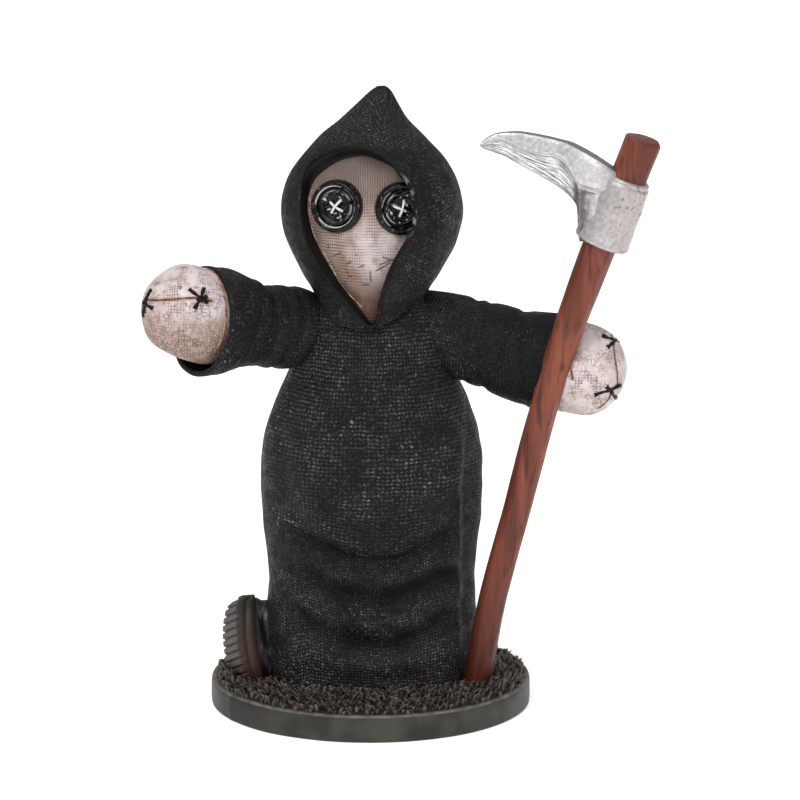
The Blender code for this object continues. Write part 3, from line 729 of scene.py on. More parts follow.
def button_frame(across, up, turn):
    """Where a button sits on the face, with its axis pointing out of its front."""
    facing = Matrix.Rotation(FACE_TURN - turn, 4, "Z") @ Matrix.Rotation(math.pi / 2 - BUTTON_TIP, 4, "X")
    seat = turned_head(across, face_surface(across, up), up, FACE_TURN)
    return Matrix.Translation(place(*seat)) @ facing


BUTTON_PROFILE = [(0.0, 0.30), (0.30, 0.31), (0.44, 0.36), (0.50, 0.62), (0.54, 0.70), (0.58, 0.66), (0.62, 0.34),
                  (0.66, 0.28), (0.70, 0.36), (0.75, 0.72), (0.80, 0.93), (0.86, 1.0), (0.92, 0.93), (0.97, 0.70),
                  (1.0, 0.25)]
BUTTON_SIDE = [(1.0, 0.25), (1.0, -0.6), (0.97, -2.2)]
BUTTON_HOLES = [(0.17, 0.17), (-0.17, 0.17), (-0.17, -0.17), (0.17, -0.17)]
BUTTON_THREADS = [
    [((-1.20, 0.72), (1.22, -0.80)), ((0.90, 1.22), (-0.88, -1.20))],
    [((-1.45, 0.52), (0.85, -0.50)), ((0.45, 1.55), (-0.42, -1.40))],
]


def make_button(index, gloss, thread):
    """A turned button with four holes, its face lightly dented, and its crossed threads."""
    matrix = button_frame(*BUTTON_PLACES[index])
    outs = [0.02 + 0.98 * k / 56 for k in range(56)]
    rings = []
    for out, high in [(out, reading(BUTTON_PROFILE, out)) for out in outs] + BUTTON_SIDE:
        ring = []
        for angle in turns(96):
            x = out * math.cos(angle)
            y = out * math.sin(angle)
            dent = sum(bell(math.hypot(x - hx, y - hy), 0.075) for hx, hy in BUTTON_HOLES)
            dent += 0.10 * noise.noise(Vector((x * 5, y * 5, index * 7.0)))
            height = high - 0.22 * dent
            ring.append(matrix @ Vector((x * BUTTON_RADIUS, y * BUTTON_RADIUS, height * BUTTON_THICKNESS)))
        rings.append(ring)
    ring_piece("button_%d" % index, rings, 1, 1, gloss, "button_gloss", cap_start=True)
    for number, (start, end) in enumerate(BUTTON_THREADS[index]):
        line = []
        radii = []
        for k in range(13):
            t = k / 12
            x = (start[0] + (end[0] - start[0]) * t) / 1000
            y = (start[1] + (end[1] - start[1]) * t) / 1000
            arch = 0.62 * math.sin(math.pi * t) ** 0.5 + (0.16 if number else 0.0) * math.sin(math.pi * t)
            line.append(matrix @ Vector((x, y, BUTTON_THICKNESS * (0.05 + arch))))
            radii.append(0.00021 * (1 + 0.12 * math.sin(9 * t)))
        dress(tube("button_%d_thread_%d" % (index, number), line, radii, 12), thread)


# Arms

def sleeve_frame(centres, t):
    """The sleeve's middle, direction and cross axes at share t."""
    centre = along(centres, t)
    direction = (along(centres, min(t + 0.02, 1)) - along(centres, max(t - 0.02, 0))).normalized()
    return centre, direction, cross_frame(direction)


def make_sleeve(name, stations, wrinkles, material):
    """A sleeve from shoulder to cuff, its end rolled in, with wrinkles across it."""
    centres = [Vector(centre) for centre, radius in stations]
    radii = [radius for centre, radius in stations]
    sides = 96

    def ring(t, extra, forward):
        centre, direction, (level, upward) = sleeve_frame(centres, t)
        radius = along(radii, t)
        points = []
        for angle in turns(sides):
            low = -math.sin(angle)
            fold = sum(deep * bell(t - at - slant * low, wide) for at, slant, deep, wide in wrinkles)
            reach = radius + extra - fold * smooth_step(1.0, 0.86, t)
            point = centre + level * reach * math.cos(angle) + upward * reach * math.sin(angle)
            points.append(place(*(point + direction * (CUFF_DROOP * t * reach * low + forward))))
        return points

    shares = even_keys(lambda t: place(*sleeve_frame(centres, t)[0]), 0.0, 1.0, ROW_PITCH / 2)
    rings = [ring(t, 0.0, 0.0) for t in shares]
    body = len(rings)
    for k in range(1, 9):
        angle = math.pi * k / 8
        rings.append(ring(1.0, -CUFF_LIP * (1 - math.cos(angle)), 0.40 + CUFF_LIP * 0.9 * math.sin(angle)))
    grid = np.array(rings)
    rows = len(grid)
    amount = WEAVE_DEPTH * egg_crate(rows, sides) + SLEEVE_LUMPS * rough(grid, 300, len(name))
    amount[body + 4:] *= 0.2
    grid = raise_by(grid, amount, True)
    ring_piece(name, grid, 0.7 * sides, 0.68 * rows, material, "robe_black")
    inner = [ring(1.0, -2 * CUFF_LIP, -0.9 * k) for k in range(4)]
    ring_piece(name + "_inside", inner, 48, 4, material, "robe_black")


def make_hand(name, wrist, palm, seams, stitches, material, thread):
    """A stuffed stump of a hand: an egg of cloth with seams pressed in and black stitches over them."""
    palm = Vector(palm)
    axis = (palm - Vector(wrist)).normalized()
    level, upward = cross_frame(axis)

    def centre_line(key):
        return Vector((key, reading(HAND_PROFILE, key), 0)) * HAND_RADIUS * UNIT

    keys = even_keys(centre_line, -1.3, 1.0, 0.00026)
    sides = 176
    rings = []
    for key in keys:
        size = reading(HAND_PROFILE, key)
        ring = []
        for angle in turns(sides):
            across = level * math.cos(angle) + upward * math.sin(angle) * HAND_STRETCH
            ring.append(place(*(palm + axis * key * HAND_RADIUS + across * HAND_RADIUS * size)))
        rings.append(ring)
    grid = np.array(rings)
    middle = place(*palm)
    threads = np.zeros((len(grid), sides + 1, 2))
    for j in range(len(grid)):
        for i in range(sides + 1):
            way = (Vector(grid[j, i % sides]) - middle).normalized()
            off = math.acos(max(min(-way.y, 1), -1)) * HAND_RADIUS * UNIT / FACE_PITCH
            flat = Vector((way.x, way.z)).normalized() if abs(way.y) < 0.9999 else Vector((0, 0))
            threads[j, i] = (flat.x * off + 40, flat.y * off + 40)
    u = threads[:, :-1, 0]
    v = threads[:, :-1, 1]
    weave = np.sin(2 * math.pi * u) * 0.5 + np.sin(2 * math.pi * v) * 0.5
    patchy = np.clip(0.5 + 1.2 * rough(grid, 260, 2.0), 0, 1)
    grid = raise_by(grid, 0.75 * WEAVE_DEPTH * weave * patchy + HAND_LUMPS * rough(grid, 210, 8.0), True)
    hand = grid_piece(name, grid, threads, cap_end=True)
    lines = [face_line(hand, line) for line in seams]
    carve(hand, lines, depth=0.00022, width=0.00016, stain_width=0.00030)
    dress(hand, material)
    for number, pixels in enumerate(stitches):
        line = []
        for k in range(15):
            where, out = on_piece(hand, *pixel_at(pixels, k / 14 * (len(pixels) - 1)))
            if where is not None:
                lift = 0.00028 * min(1.0, 4 * k / 14, 4 * (14 - k) / 14) - 0.00008
                line.append(where + out * lift)
        if len(line) > 2:
            radii = STITCH_RADIUS * (1 + 0.14 * np.sin(np.arange(len(line)) * 1.3 + number))
            dress(tube("%s_stitch_%d" % (name, number), line, radii, 12), thread)
    return hand


def make_cuff_line(hand, pixels, material):
    """A thin strand on a hand along its cuff, read off the photograph."""
    line = [tuple(point) for point in face_line(hand, pixels, 5)]
    dress(tube("left_cuff_line", line, CUFF_LINE_RADIUS, 10), material)


# Boot

def boot_frame():
    """The boot's frame: X out of the tread, Y across the sole, Z from heel to toe."""
    return (Matrix.Translation(place(*BOOT_PLACE)) @ Matrix.Rotation(BOOT_TURN, 4, "Z")
            @ Matrix.Rotation(math.pi, 4, "Z") @ Matrix.Rotation(BOOT_LEAN, 4, "X"))


def sole_half_width(share):
    """The sole's half width along its length, heel at -1, toe at 1."""
    return BOOT_HALF_WIDTH * max(1 - abs(share) ** 3.0, 0.0) ** 0.5 * (1 + 0.08 * share)


def make_boot(rubber, leather):
    """The ribbed sole with its welt, and the creased upper behind it."""
    frame = boot_frame()
    rings = []
    marks = []
    count = 16 * TREAD_RIBS
    for i in range(count + 1):
        share = -0.985 + 1.97 * i / count
        half = sole_half_width(share)
        phase = (share + 0.97) / 1.94 * TREAD_RIBS
        rib = 0.75 * TREAD_DEPTH * smooth_step(0.05, 0.20, abs(phase % 1.0 - 0.78))
        inner = 1.4 * share ** 2
        bow = inner + 1.3 * smooth_step(0.72, 1.0, abs(share)) ** 2
        outer = SOLE_THICKNESS + rib - bow
        z = share * BOOT_HALF_LENGTH
        low = SOLE_THICKNESS - bow - 1.15
        side = [(-inner, half), (low - 0.15, half), (low, half - 0.25), (low + 0.15, half), (outer - 0.4, half),
                (outer - 0.1, half - 0.15), (outer, half - 0.5), (outer, half * 0.5)]
        corners = [(x, -y) for x, y in side] + [(outer, 0)] + side[::-1]
        rings.append([frame @ (Vector((x, y, z)) * UNIT) for x, y in corners])
        high = 0.15 + 0.85 * rib / (0.75 * TREAD_DEPTH)
        marks += [0] * 5 + [0.4 * high] + [high] * 5 + [0.4 * high] + [0] * 5
    sole = ring_piece("boot_sole", rings, 1.0, TREAD_RIBS, rubber, "boot_brown", cap_start=True, cap_end=True)
    mark_points(sole, marks + [0, 0])
    rings = []
    for i in range(40):
        t = i / 39
        size = 0.97 - 0.22 * t
        x = 0.8 - UPPER_DEPTH * t
        ring = []
        for angle in turns(72):
            crease = 1 + 0.03 * math.sin(3 * angle + 9 * t) - 0.05 * abs(math.sin(11 * t + math.sin(2 * angle)))
            y = BOOT_HALF_WIDTH * size * crease * signed_power(math.cos(angle), 0.8)
            z = BOOT_HALF_LENGTH * size * crease * signed_power(math.sin(angle), 0.8)
            ring.append(frame @ (Vector((x - 1.2 * (z / BOOT_HALF_LENGTH) ** 2, y, z)) * UNIT))
        rings.append(ring)
    ring_piece("boot_upper", rings, 8, 4, leather, "boot_brown", cap_start=True, cap_end=True)


# Base

def turf(x, y):
    """The turf's bumps, in metres of height."""
    clump = math.sin(x * 2300 + 1.3 * math.sin(y * 1900)) * math.sin(y * 2100 + 1.7 * math.sin(x * 1500))
    return TURF_LIFT + TURF_RELIEF * clump


def make_base(paint, soil, grass):
    """The cast disc with a rounded edge, the soil on it, and its short stiff grass."""
    sides = 240
    e = BASE_EDGE_ROUND
    top = BASE_HEIGHT
    profile = [(0.0002, 0), (BASE_RADIUS - 2.4 * e, 0), (BASE_RADIUS - e, 0.0)]
    profile += [(BASE_RADIUS - e + e * math.sin(a), e - e * math.cos(a)) for a in (0.4, 0.8, 1.2, 1.57)]
    profile += [(BASE_RADIUS + 0.00006, top * share) for share in (0.25, 0.4, 0.55, 0.7, 0.82)]
    profile += [(BASE_RADIUS - e + e * math.cos(a), top - e + e * math.sin(a)) for a in (0.2, 0.6, 1.0, 1.4)]
    profile += [(BASE_RADIUS - 1.6 * e, top), (BASE_RADIUS - BASE_RIM_WIDTH - 0.0006, top - 0.0001)]
    rings = []
    for radius, height in profile:
        ring = []
        for angle in turns(sides):
            mould = 0.00012 * bell(math.remainder(angle - MOULD_LINE, 2 * math.pi), 0.02)
            uneven = 0.00012 * round_noise(angle, 3, height * 300)
            reach = radius + (mould + uneven if radius > 0.02 else 0)
            ring.append((reach * math.cos(angle), reach * math.sin(angle), height))
        rings.append(ring)
    ring_piece("base_disc", rings, 60, 10, paint, "base_green_grey")
    rings = []
    inner = BASE_RADIUS - BASE_RIM_WIDTH
    for k in range(34):
        radius = inner * (1 - k / 34) + 0.0002
        ring = []
        for angle in turns(sides):
            x = radius * math.cos(angle)
            y = radius * math.sin(angle)
            lift = turf(x, y) if k > 1 else (-0.0002 if k == 0 else 0.0002)
            ring.append((x, y, BASE_HEIGHT + lift))
        rings.append(ring)
    ring_piece("turf_soil", rings, 60, 10, soil, "turf_brown", cap_end=True)
    make_grass(grass, inner)


def make_grass(material, inner):
    """Thousands of short blades, leaning outward, each a thin wedge."""
    dice = random.Random(17)
    points = []
    faces = []
    uvs = []
    steps = int(inner / GRASS_SPACING)
    for row in range(-steps, steps + 1):
        for column in range(-steps, steps + 1):
            x = (column + dice.uniform(-0.5, 0.5) + 0.5 * (row % 2)) * GRASS_SPACING
            y = (row + dice.uniform(-0.5, 0.5)) * GRASS_SPACING
            radius = math.hypot(x, y)
            tone = dice.random()
            length = dice.uniform(0.0008, 0.0015)
            lean = dice.uniform(0.30, 1.30)
            twist = dice.uniform(-1.5, 1.5)
            width = dice.uniform(0.00034, 0.00056)
            if radius > inner - 0.0001 or robe_covers(x, y):
                continue
            angle = math.atan2(y, x) + twist
            out = Vector((math.cos(angle), math.sin(angle), 0))
            side = Vector((-out.y, out.x, 0))
            edge = smooth_step(inner + 0.0006, inner - 0.002, radius)
            foot = Vector((x, y, BASE_HEIGHT + turf(x, y) * edge - 0.0002))
            tip = foot + (out * lean + Vector((0, 0, 1))) * length * (0.65 + 0.35 * edge)
            middle = foot.lerp(tip, 0.60) - out * 0.00012 + Vector((0, 0, 0.00022))
            start = len(points)
            points += [foot - side * width, foot + side * width, foot + out * width,
                       middle - side * width * 0.9, middle + side * width * 0.9, middle + out * width * 0.8, tip]
            for a, b in ((0, 1), (1, 2), (2, 0)):
                faces.append((start + a, start + b, start + 3 + b, start + 3 + a))
                uvs += [(tone, 0), (tone, 0), (tone, 0.55), (tone, 0.55)]
                faces.append((start + 3 + a, start + 3 + b, start + 6))
                uvs += [(tone, 0.55), (tone, 0.55), (tone, 1.0)]
    dress(mesh_piece("turf_grass", points, faces, uvs), material)


def robe_covers(x, y):
    """Whether the robe stands over a place on the turf."""
    across = abs(x / UNIT - ROBE_MIDDLE) / 16.6
    deep = abs(y / UNIT) / 11.6
    return across ** ROBE_SQUARENESS + deep ** ROBE_SQUARENESS < 1


# Scythe

def shaft_centre(height):
    """The middle of the shaft at a height, in shares."""
    return Vector((reading(SHAFT_LINE, height), SHAFT_FOOT + SHAFT_LEAN * height, height))


def shaft_ring(height, extra, sides, relief):
    """One ring round the shaft's middle line, its radius grown by extra metres and a relief."""
    direction = (shaft_centre(height + 0.5) - shaft_centre(height - 0.5)).normalized()
    swell = SHAFT_TOP_RADIUS - SHAFT_FOOT_RADIUS
    radius = SHAFT_FOOT_RADIUS + swell * smooth_step(45, SHAFT_TOP, height) + extra
    level, upward = cross_frame(direction)
    ring = []
    for angle in turns(sides):
        across = level * math.cos(angle) + upward * math.sin(angle)
        ring.append(place(*shaft_centre(height)) + across * (radius + relief(angle, height)))
    return ring


def grain(angle, height):
    """Long shallow grooves down the wood, in metres."""
    return 0.00016 * round_noise(angle, 3.2, height * 0.05) + 0.00010 * round_noise(angle, 9, height * 0.11 + 9)


def dents(angle, height):
    """Soft dents round the socket, in metres."""
    return 0.00012 * round_noise(angle, 1.6, height * 0.35)


def make_scythe(wood, silver, blade_silver):
    """The wooden shaft, and the head: a socket round it and a bevelled blade."""
    sides = 80
    heights = [-0.6 + (SHAFT_TOP + 0.2) * i / 150 for i in range(151)]
    rings = [shaft_ring(height, 0.0, sides, grain) for height in heights]
    for k in (1, 2, 3, 4):
        angle = k * math.pi / 8
        height = SHAFT_TOP - 0.5 + 0.6 * math.sin(angle)
        rings.append(shaft_ring(height, -0.0007 * (1 - math.cos(angle)), sides, grain))
    ring_piece("scythe_shaft", rings, 1, 20, wood, "scythe_wood", "scythe", cap_start=True, cap_end=True)
    make_socket(silver)
    make_blade(blade_silver)


def make_socket(silver):
    """The socket with a flared foot, a ring at its top and slight dents."""
    low = SOCKET_TOP - SOCKET_LENGTH / UNIT * 0.93
    steps = [(0.04, -0.5), (0.0, 0.2), (-0.005, 0.6), (0.0, 0.95), (0.02, 1.05), (0.05, 1.06), (0.075, 1.0)]
    steps += [(0.09 + 0.81 * k / 24, 1.0 + 0.03 * math.sin(k * 0.5)) for k in range(25)]
    steps += [(0.915, 0.97), (0.925, 0.90), (0.935, 0.78), (0.95, 0.74), (0.97, 0.76), (0.99, 0.70), (1.0, 0.5),
              (1.0, -0.2)]
    rings = []
    for share, wall in steps:
        flare = SOCKET_FLARE * (1 - share) if wall > 0 else 0.0
        rings.append(shaft_ring(low + (SOCKET_TOP - low) * share, SOCKET_WALL * wall + flare, 96, dents))
    ring_piece("scythe_socket", rings, 1, 1, silver, "scythe_silver", "scythe")


BLADE_BEVEL = [(0, 10.55), (0.14, 11.65), (0.30, 10.2), (0.447, 9.4), (0.581, 8.9), (0.638, 7.6), (0.684, 5.6),
               (0.735, 4.5), (0.80, 4.0), (1.0, 3.0)]
BLADE_ABOVE = [(0.0, 0.12), (0.02, 0.40), (0.09, 0.66), (0.13, 0.74), (0.4, 0.92), (0.82, 0.96), (0.93, 1.03),
               (1.0, 0.96)]
BLADE_BELOW = [(0.035, 0.84), (0.075, 0.94), (0.13, 0.82), (0.3, 0.66), (0.5, 0.50), (0.75, 0.27), (1.0, 0.06)]


def make_blade(silver):
    """The blade: a narrow top facet, a wavy double bevel line and a ground edge, fanning into the socket."""
    root = shaft_centre(SOCKET_TOP - BLADE_DROP)
    length = BLADE_LENGTH / UNIT
    rings = []
    marks = []
    count = 150
    for i in range(count + 1):
        share = i / count
        back = root.z + reading(BLADE_BACK, share)
        edge = root.z + reading(BLADE_EDGE, share)
        bevel = root.z + min(reading(BLADE_BEVEL, share), reading(BLADE_BACK, share) - 0.05)
        thick = reading(BLADE_HALF_THICKNESS, share)
        x = root.x - length * (1 - share)
        joined = smooth_step(0.66, 0.80, share)
        outline = [(back + (bevel - back) * down, out, 0.0 if down < 0.10 else 0.5) for down, out in BLADE_ABOVE]
        outline += [(bevel + (edge - bevel) * down, out, 0.75 if down < 0.10 else 1.0)
                    for down, out in BLADE_BELOW]
        ring = []
        for side in (-1, 1):
            for z, out, mark in outline if side < 0 else reversed(outline):
                low = (bevel - z) / max(bevel - edge, 0.1)
                full = out + (0.92 - out) * joined * smooth_step(-0.2, 0.4, low)
                fan = 0.07 * math.sin(6.5 * low - share * 24) * smooth_step(0.60, 0.78, share)
                reach = (full + fan * smooth_step(-0.6, 0.1, low)) * thick * side
                ring.append(place(x, root.y - 0.6 * (1 - share) + reach, z))
                marks.append(mark * (1 - 0.5 * joined * (mark > 0.9)))
        rings.append(ring)
    blade = ring_piece("scythe_blade", rings, 1, 1, silver, "scythe_silver", "scythe",
                       cap_start=True, cap_end=True)
    mark_points(blade, marks + [0.5, 0.5])


# Materials

class Field:
    """A number that varies over a surface, so that sums with it are written as sums."""

    def __init__(self, paint, socket):
        self.paint = paint
        self.socket = socket

    def math(self, operation, other=0.0, clamp=False):
        inputs = {0: self, 1: other}
        return Field(self.paint, self.paint.node("ShaderNodeMath", inputs, operation=operation, use_clamp=clamp))

    def __add__(self, other):
        return self.math("ADD", other)

    def __sub__(self, other):
        return self.math("SUBTRACT", other)

    def __mul__(self, other):
        return self.math("MULTIPLY", other)

    def __truediv__(self, other):
        return self.math("DIVIDE", other)

    def __pow__(self, other):
        return self.math("POWER", other)

    def __or__(self, other):
        return self.math("MAXIMUM", other)

    def __abs__(self):
        return self.math("ABSOLUTE")

    def rest(self):
        """What is left of one."""
        return Field(self.paint, self.paint.node("ShaderNodeMath", {0: 1.0, 1: self}, operation="SUBTRACT"))

    def step(self, low, high, start=0.0, end=1.0):
        inputs = {0: self, 1: low, 2: high, 3: start, 4: end}
        return Field(self.paint, self.paint.node("ShaderNodeMapRange", inputs, interpolation_type="SMOOTHSTEP"))


class Paint:
    """A painted finish built up in layers, each laid over its colour so far."""

    def __init__(self, name):
        self.material = bpy.data.materials.new(name)
        self.material.use_nodes = True
        self.tree = self.material.node_tree
        self.shader = self.tree.nodes["Principled BSDF"]
        self.place = self.node("ShaderNodeTexCoord", output="Object")
        self.colour = None

    def node(self, kind, inputs=None, output=0, **settings):
        """Adds a node and gives back one of its outputs."""
        made = self.tree.nodes.new(kind)
        for key, value in settings.items():
            setattr(made, key, value)
        for key, value in (inputs or {}).items():
            self.put(made.inputs[key], value)
        return made.outputs[output]

    def put(self, socket, value):
        if isinstance(value, Field):
            value = value.socket
        if isinstance(value, bpy.types.NodeSocket):
            self.tree.links.new(value, socket)
        elif socket.type == "RGBA":
            socket.default_value = (*value, 1)
        else:
            socket.default_value = value

    def mix(self, share, first, second):
        return self.node("ShaderNodeMix", {0: share, 6: first, 7: second}, 2, data_type="RGBA")

    def over(self, share, colour):
        """Lays a colour over the finish so far."""
        self.colour = self.mix(share, self.colour, colour)

    def noise(self, scale, detail=3.0, vector=None):
        inputs = {"Vector": vector or self.place, "Scale": scale, "Detail": detail, "Roughness": 0.55}
        return Field(self, self.node("ShaderNodeTexNoise", inputs))

    def stretched(self, x, y, z):
        return self.node("ShaderNodeVectorMath", {0: self.place, 1: (x, y, z)}, operation="MULTIPLY")

    def split(self, vector, axis):
        return Field(self, self.node("ShaderNodeSeparateXYZ", {0: vector}, axis))

    def threads(self):
        """The thread counts stored with the mesh."""
        counted = self.node("ShaderNodeUVMap", uv_map="threads")
        return self.split(counted, 0), self.split(counted, 1)

    def part(self, axis):
        """One coordinate of the point being shaded, in metres."""
        return self.split(self.place, axis)

    def mark(self):
        return Field(self, self.node("ShaderNodeAttribute", None, "Fac", attribute_name="mark"))

    def bump(self, height, distance, strength=1.0, after=None):
        inputs = {"Height": height, "Distance": distance, "Strength": strength}
        if after is not None:
            inputs["Normal"] = after
        made = self.node("ShaderNodeBump", inputs)
        self.put(self.shader.inputs["Normal"], made)
        return made

    def done(self, roughness, gloss=0.5, metallic=0.0):
        """Gives the shader its colour and finish."""
        looks = {"Base Color": self.colour, "Roughness": roughness, "Metallic": metallic,
                 "Specular IOR Level": gloss}
        for name, value in looks.items():
            self.put(self.shader.inputs[name], value)
        return self.material

    def weave(self, wobble, wide, tall, step, jitter):
        """Threads in rows, each row set over by a step: how near a thread's top a point is, and its chance."""
        u, v = self.threads()
        shake = (self.noise(1050, 2.0) - 0.5) * jitter
        u = u + ((self.noise(260, 2.0) - 0.5) * wobble + shake)
        v = v + ((self.noise(190, 2.0) - 0.5) * wobble + shake * -0.8)
        row = v.math("FLOOR")
        u = u + row.math("MODULO", 2.0) * step
        column = u.math("FLOOR")
        far_u = (abs(u.math("FRACT") - 0.5) / wide) ** 2.0
        far_v = (abs(v.math("FRACT") - 0.5) / tall) ** 2.0
        cell = self.node("ShaderNodeCombineXYZ", {0: column, 1: row})
        chance = self.node("ShaderNodeTexWhiteNoise", {"Vector": cell}, "Value", noise_dimensions="2D")
        return (far_u + far_v).math("SQRT").step(1.0, 0.30), Field(self, chance)

    def gaps(self, sharp):
        """Dark gaps between the threads of a plain weave, both ways."""
        u, v = self.threads()
        drift = (self.noise(420, 2.0) - 0.5) * 1.6
        u = u + drift
        v = v + drift * -0.8
        return abs(u.math("FRACT") - 0.5).step(sharp, 0.5), abs(v.math("FRACT") - 0.5).step(sharp, 0.5)


def burlap_paint(name, wobble, wide, tall, step, jitter, glints, grey, sides=None):
    """Black burlap, thread tops dry-brushed grey, painted glints in patches, painted shade in folds and to one
    side.
    """
    paint = Paint(name)
    top, chance = paint.weave(wobble, wide, tall, step, jitter)
    patch = paint.noise(150, 4.0).step(0.36, 0.62, 0.22, 1.15)
    shiny = paint.noise(110).step(0.48, 0.66)
    # Painted highlights: glints painted grey on a few thread tops, in patches.
    painted_glint = chance ** 6.0 * (shiny * glints)
    soft = chance * (1.7 * grey) + 0.55 * grey
    amount = top * (painted_glint + soft * patch)
    amount = amount.math("ADD", paint.noise(1700).step(0.48, 0.72, 0.0, 0.07), True)
    amount = amount * paint.part(2).step(0.0260, 0.0180, 1.0, 1.35)
    # Painted shade toward one side: the grey fades from near, where it is full, to far, where only share of it is
    # left.
    if sides:
        far, near, share = sides
        amount = amount * paint.part(0).step(far, near, share, 1.0)
    patches = paint.noise(45, 2.0).step(0.4, 0.62)
    paint.colour = paint.mix(patches, (0.0060, 0.0057, 0.0062), (0.0092, 0.0080, 0.0076))
    paint.over(amount, (0.230, 0.230, 0.245))
    # Painted shade in the robe's swag valleys, where its mark is.
    paint.over(paint.mark() * 0.52, (0.0035, 0.0033, 0.0033))
    first = paint.bump(top, 0.00018, 0.9)
    paint.bump(paint.noise(2600), 0.00006, 0.5, first)
    return paint.done(paint.noise(700, 2.0).step(0.3, 0.7, 0.42, 0.64), 0.10)


def rim_paint():
    """The hood's rim: smoother black, dull gloss, worn spots, and painted glints and highlight at its upper
    right.
    """
    paint = Paint("rim_black")
    across = paint.part(0)
    up = paint.part(2)
    # Worn spots, made stronger toward the right as painted glints.
    worn = paint.noise(900).step(0.60, 0.78) * across.step(0.0068, 0.0088, 0.30, 1.0)
    # Painted highlight at the rim's upper right.
    painted_shine = across.step(0.0040, 0.0056) * up.step(0.0850, 0.0880) * up.step(0.0970, 0.0945)
    worn = worn | painted_shine * paint.noise(700).step(0.46, 0.58)
    paint.colour = paint.mix(worn, (0.0055, 0.0052, 0.0055), (0.150, 0.155, 0.172))
    paint.bump(paint.noise(1300), 0.00018, 0.8)
    return paint.done(paint.noise(400, 2.0).step(0.3, 0.7, 0.30, 0.55), 0.12)


def speckled_paint(name, speckle, limits, dark, light, finish, lumps):
    """Two colours mixed by noise; finish is roughness and gloss, lumps a noise with its depth and strength."""
    paint = Paint(name)
    share = paint.noise(*speckle)
    paint.colour = paint.mix(share.step(*limits) if limits else share, dark, light)
    paint.bump(paint.noise(*lumps[:2]), *lumps[2:])
    return paint.done(*finish)


def cord_paint(name, dark, light):
    """The turned edge of a cloth, rubbed lighter in places."""
    return speckled_paint(name, (900,), (0.35, 0.65), dark, light, (0.55, 0.25), (1500, 3.0, 0.00006, 0.6))


def face_paint():
    """Beige burlap with brown wash in its gaps, paler down its middle, dark at its tip, with painted shade at its
    brow.
    """
    paint = Paint("face_cloth")
    gap_u, gap_v = paint.gaps(0.20)
    height = paint.part(2)

    def rise(low, high):
        return height.step(BASE_HEIGHT + low * UNIT, BASE_HEIGHT + high * UNIT)

    cloth = rise(81.0, 76.0)
    forehead = rise(80.0, 84.5)
    middle = abs(paint.part(0) - 0.0022).step(0.0078, 0.0012) * cloth
    patch = paint.noise(330, 4.0).step(0.34, 0.60, 0.45, 1.0)
    gaps = gap_u * 0.75 | gap_v * (forehead * 0.80).rest()
    gaps = (gaps * patch).math("MULTIPLY", (forehead * 0.15 + 0.85) * (middle * 0.30).rest(), True)
    # Paler down the middle: partly the cloth's own lilac tone, partly a painted highlight.
    paint.colour = paint.mix(middle * 0.9, (0.425, 0.325, 0.285), (0.64, 0.560, 0.565))
    # The forehead's grey-brown, with painted shade darkening it toward the brow, deep in the hood.
    brow = paint.mix(rise(84.0, 89.5), (0.205, 0.155, 0.133), (0.105, 0.080, 0.070))
    paint.over(forehead * 0.95, brow)
    paint.over(rise(73.0, 65.5) * 0.95, (0.066, 0.024, 0.006))
    paint.over(paint.noise(260).step(0.48, 0.66, 0.0, 0.62) * cloth, (0.27, 0.158, 0.112))
    paint.over(gaps * 0.95, (0.100, 0.048, 0.034))
    paint.over(paint.noise(1100, 2.0).step(0.68, 0.75) * cloth * 0.85, (0.04, 0.018, 0.013))
    paint.over(paint.mark() * 0.97, (0.020, 0.010, 0.007))
    first = paint.bump(gaps.rest(), 0.00016, 0.9)
    paint.bump(paint.noise(1800), 0.00005, 0.5, first)
    return paint.done(0.5, 0.3)


def hand_paint(cuff):
    """Cream cloth with lilac lights, crackled brown wash low down, partly painted shade, and stained seams."""
    paint = Paint("hand_cloth")
    gap_u, gap_v = paint.gaps(0.24)
    under = (paint.part(2) + paint.part(0) * 0.18).step(*cuff)
    patch = paint.noise(190).step(0.46, 0.60)
    gaps = (gap_u | gap_v) * (patch | under) * paint.noise(800, 2.0).step(0.38, 0.56)
    cells = {"Vector": paint.place, "Scale": 1150.0}
    edges = Field(paint, paint.node("ShaderNodeTexVoronoi", cells, "Distance", feature="DISTANCE_TO_EDGE"))
    crackle = edges.step(0.14, 0.01) * paint.noise(520, 2.0).step(0.37, 0.52)
    crackle = crackle * (paint.noise(270).step(0.45, 0.58) * 0.80 | under)
    paint.colour = paint.mix(paint.noise(170, 2.0), (0.66, 0.550, 0.495), (0.60, 0.540, 0.600))
    dirt = paint.noise(300, 4.0).step(0.46, 0.70) * 0.42
    # Brown wash in patches and low down; low down it is also painted shade on the hand's underside.
    paint.over(dirt.math("ADD", under * 0.72, True), (0.305, 0.190, 0.130))
    paint.over(gaps * 0.72, (0.175, 0.092, 0.062))
    paint.over(crackle * 0.75, (0.110, 0.055, 0.038))
    paint.over(paint.noise(700).step(0.62, 0.71) * 0.75, (0.24, 0.110, 0.060))
    paint.over(paint.mark().step(0.04, 0.45, 0.0, 0.60), (0.40, 0.215, 0.130))
    stain = paint.mark().step(0.50, 0.90) * paint.noise(900).step(0.25, 0.50, 0.45, 1.0)
    paint.over(stain, (0.030, 0.014, 0.010))
    first = paint.bump((gaps | crackle).rest(), 0.00014, 0.8)
    paint.bump(paint.noise(1100, 4.0), 0.00010, 0.7, first)
    return paint.done(0.5, 0.35)


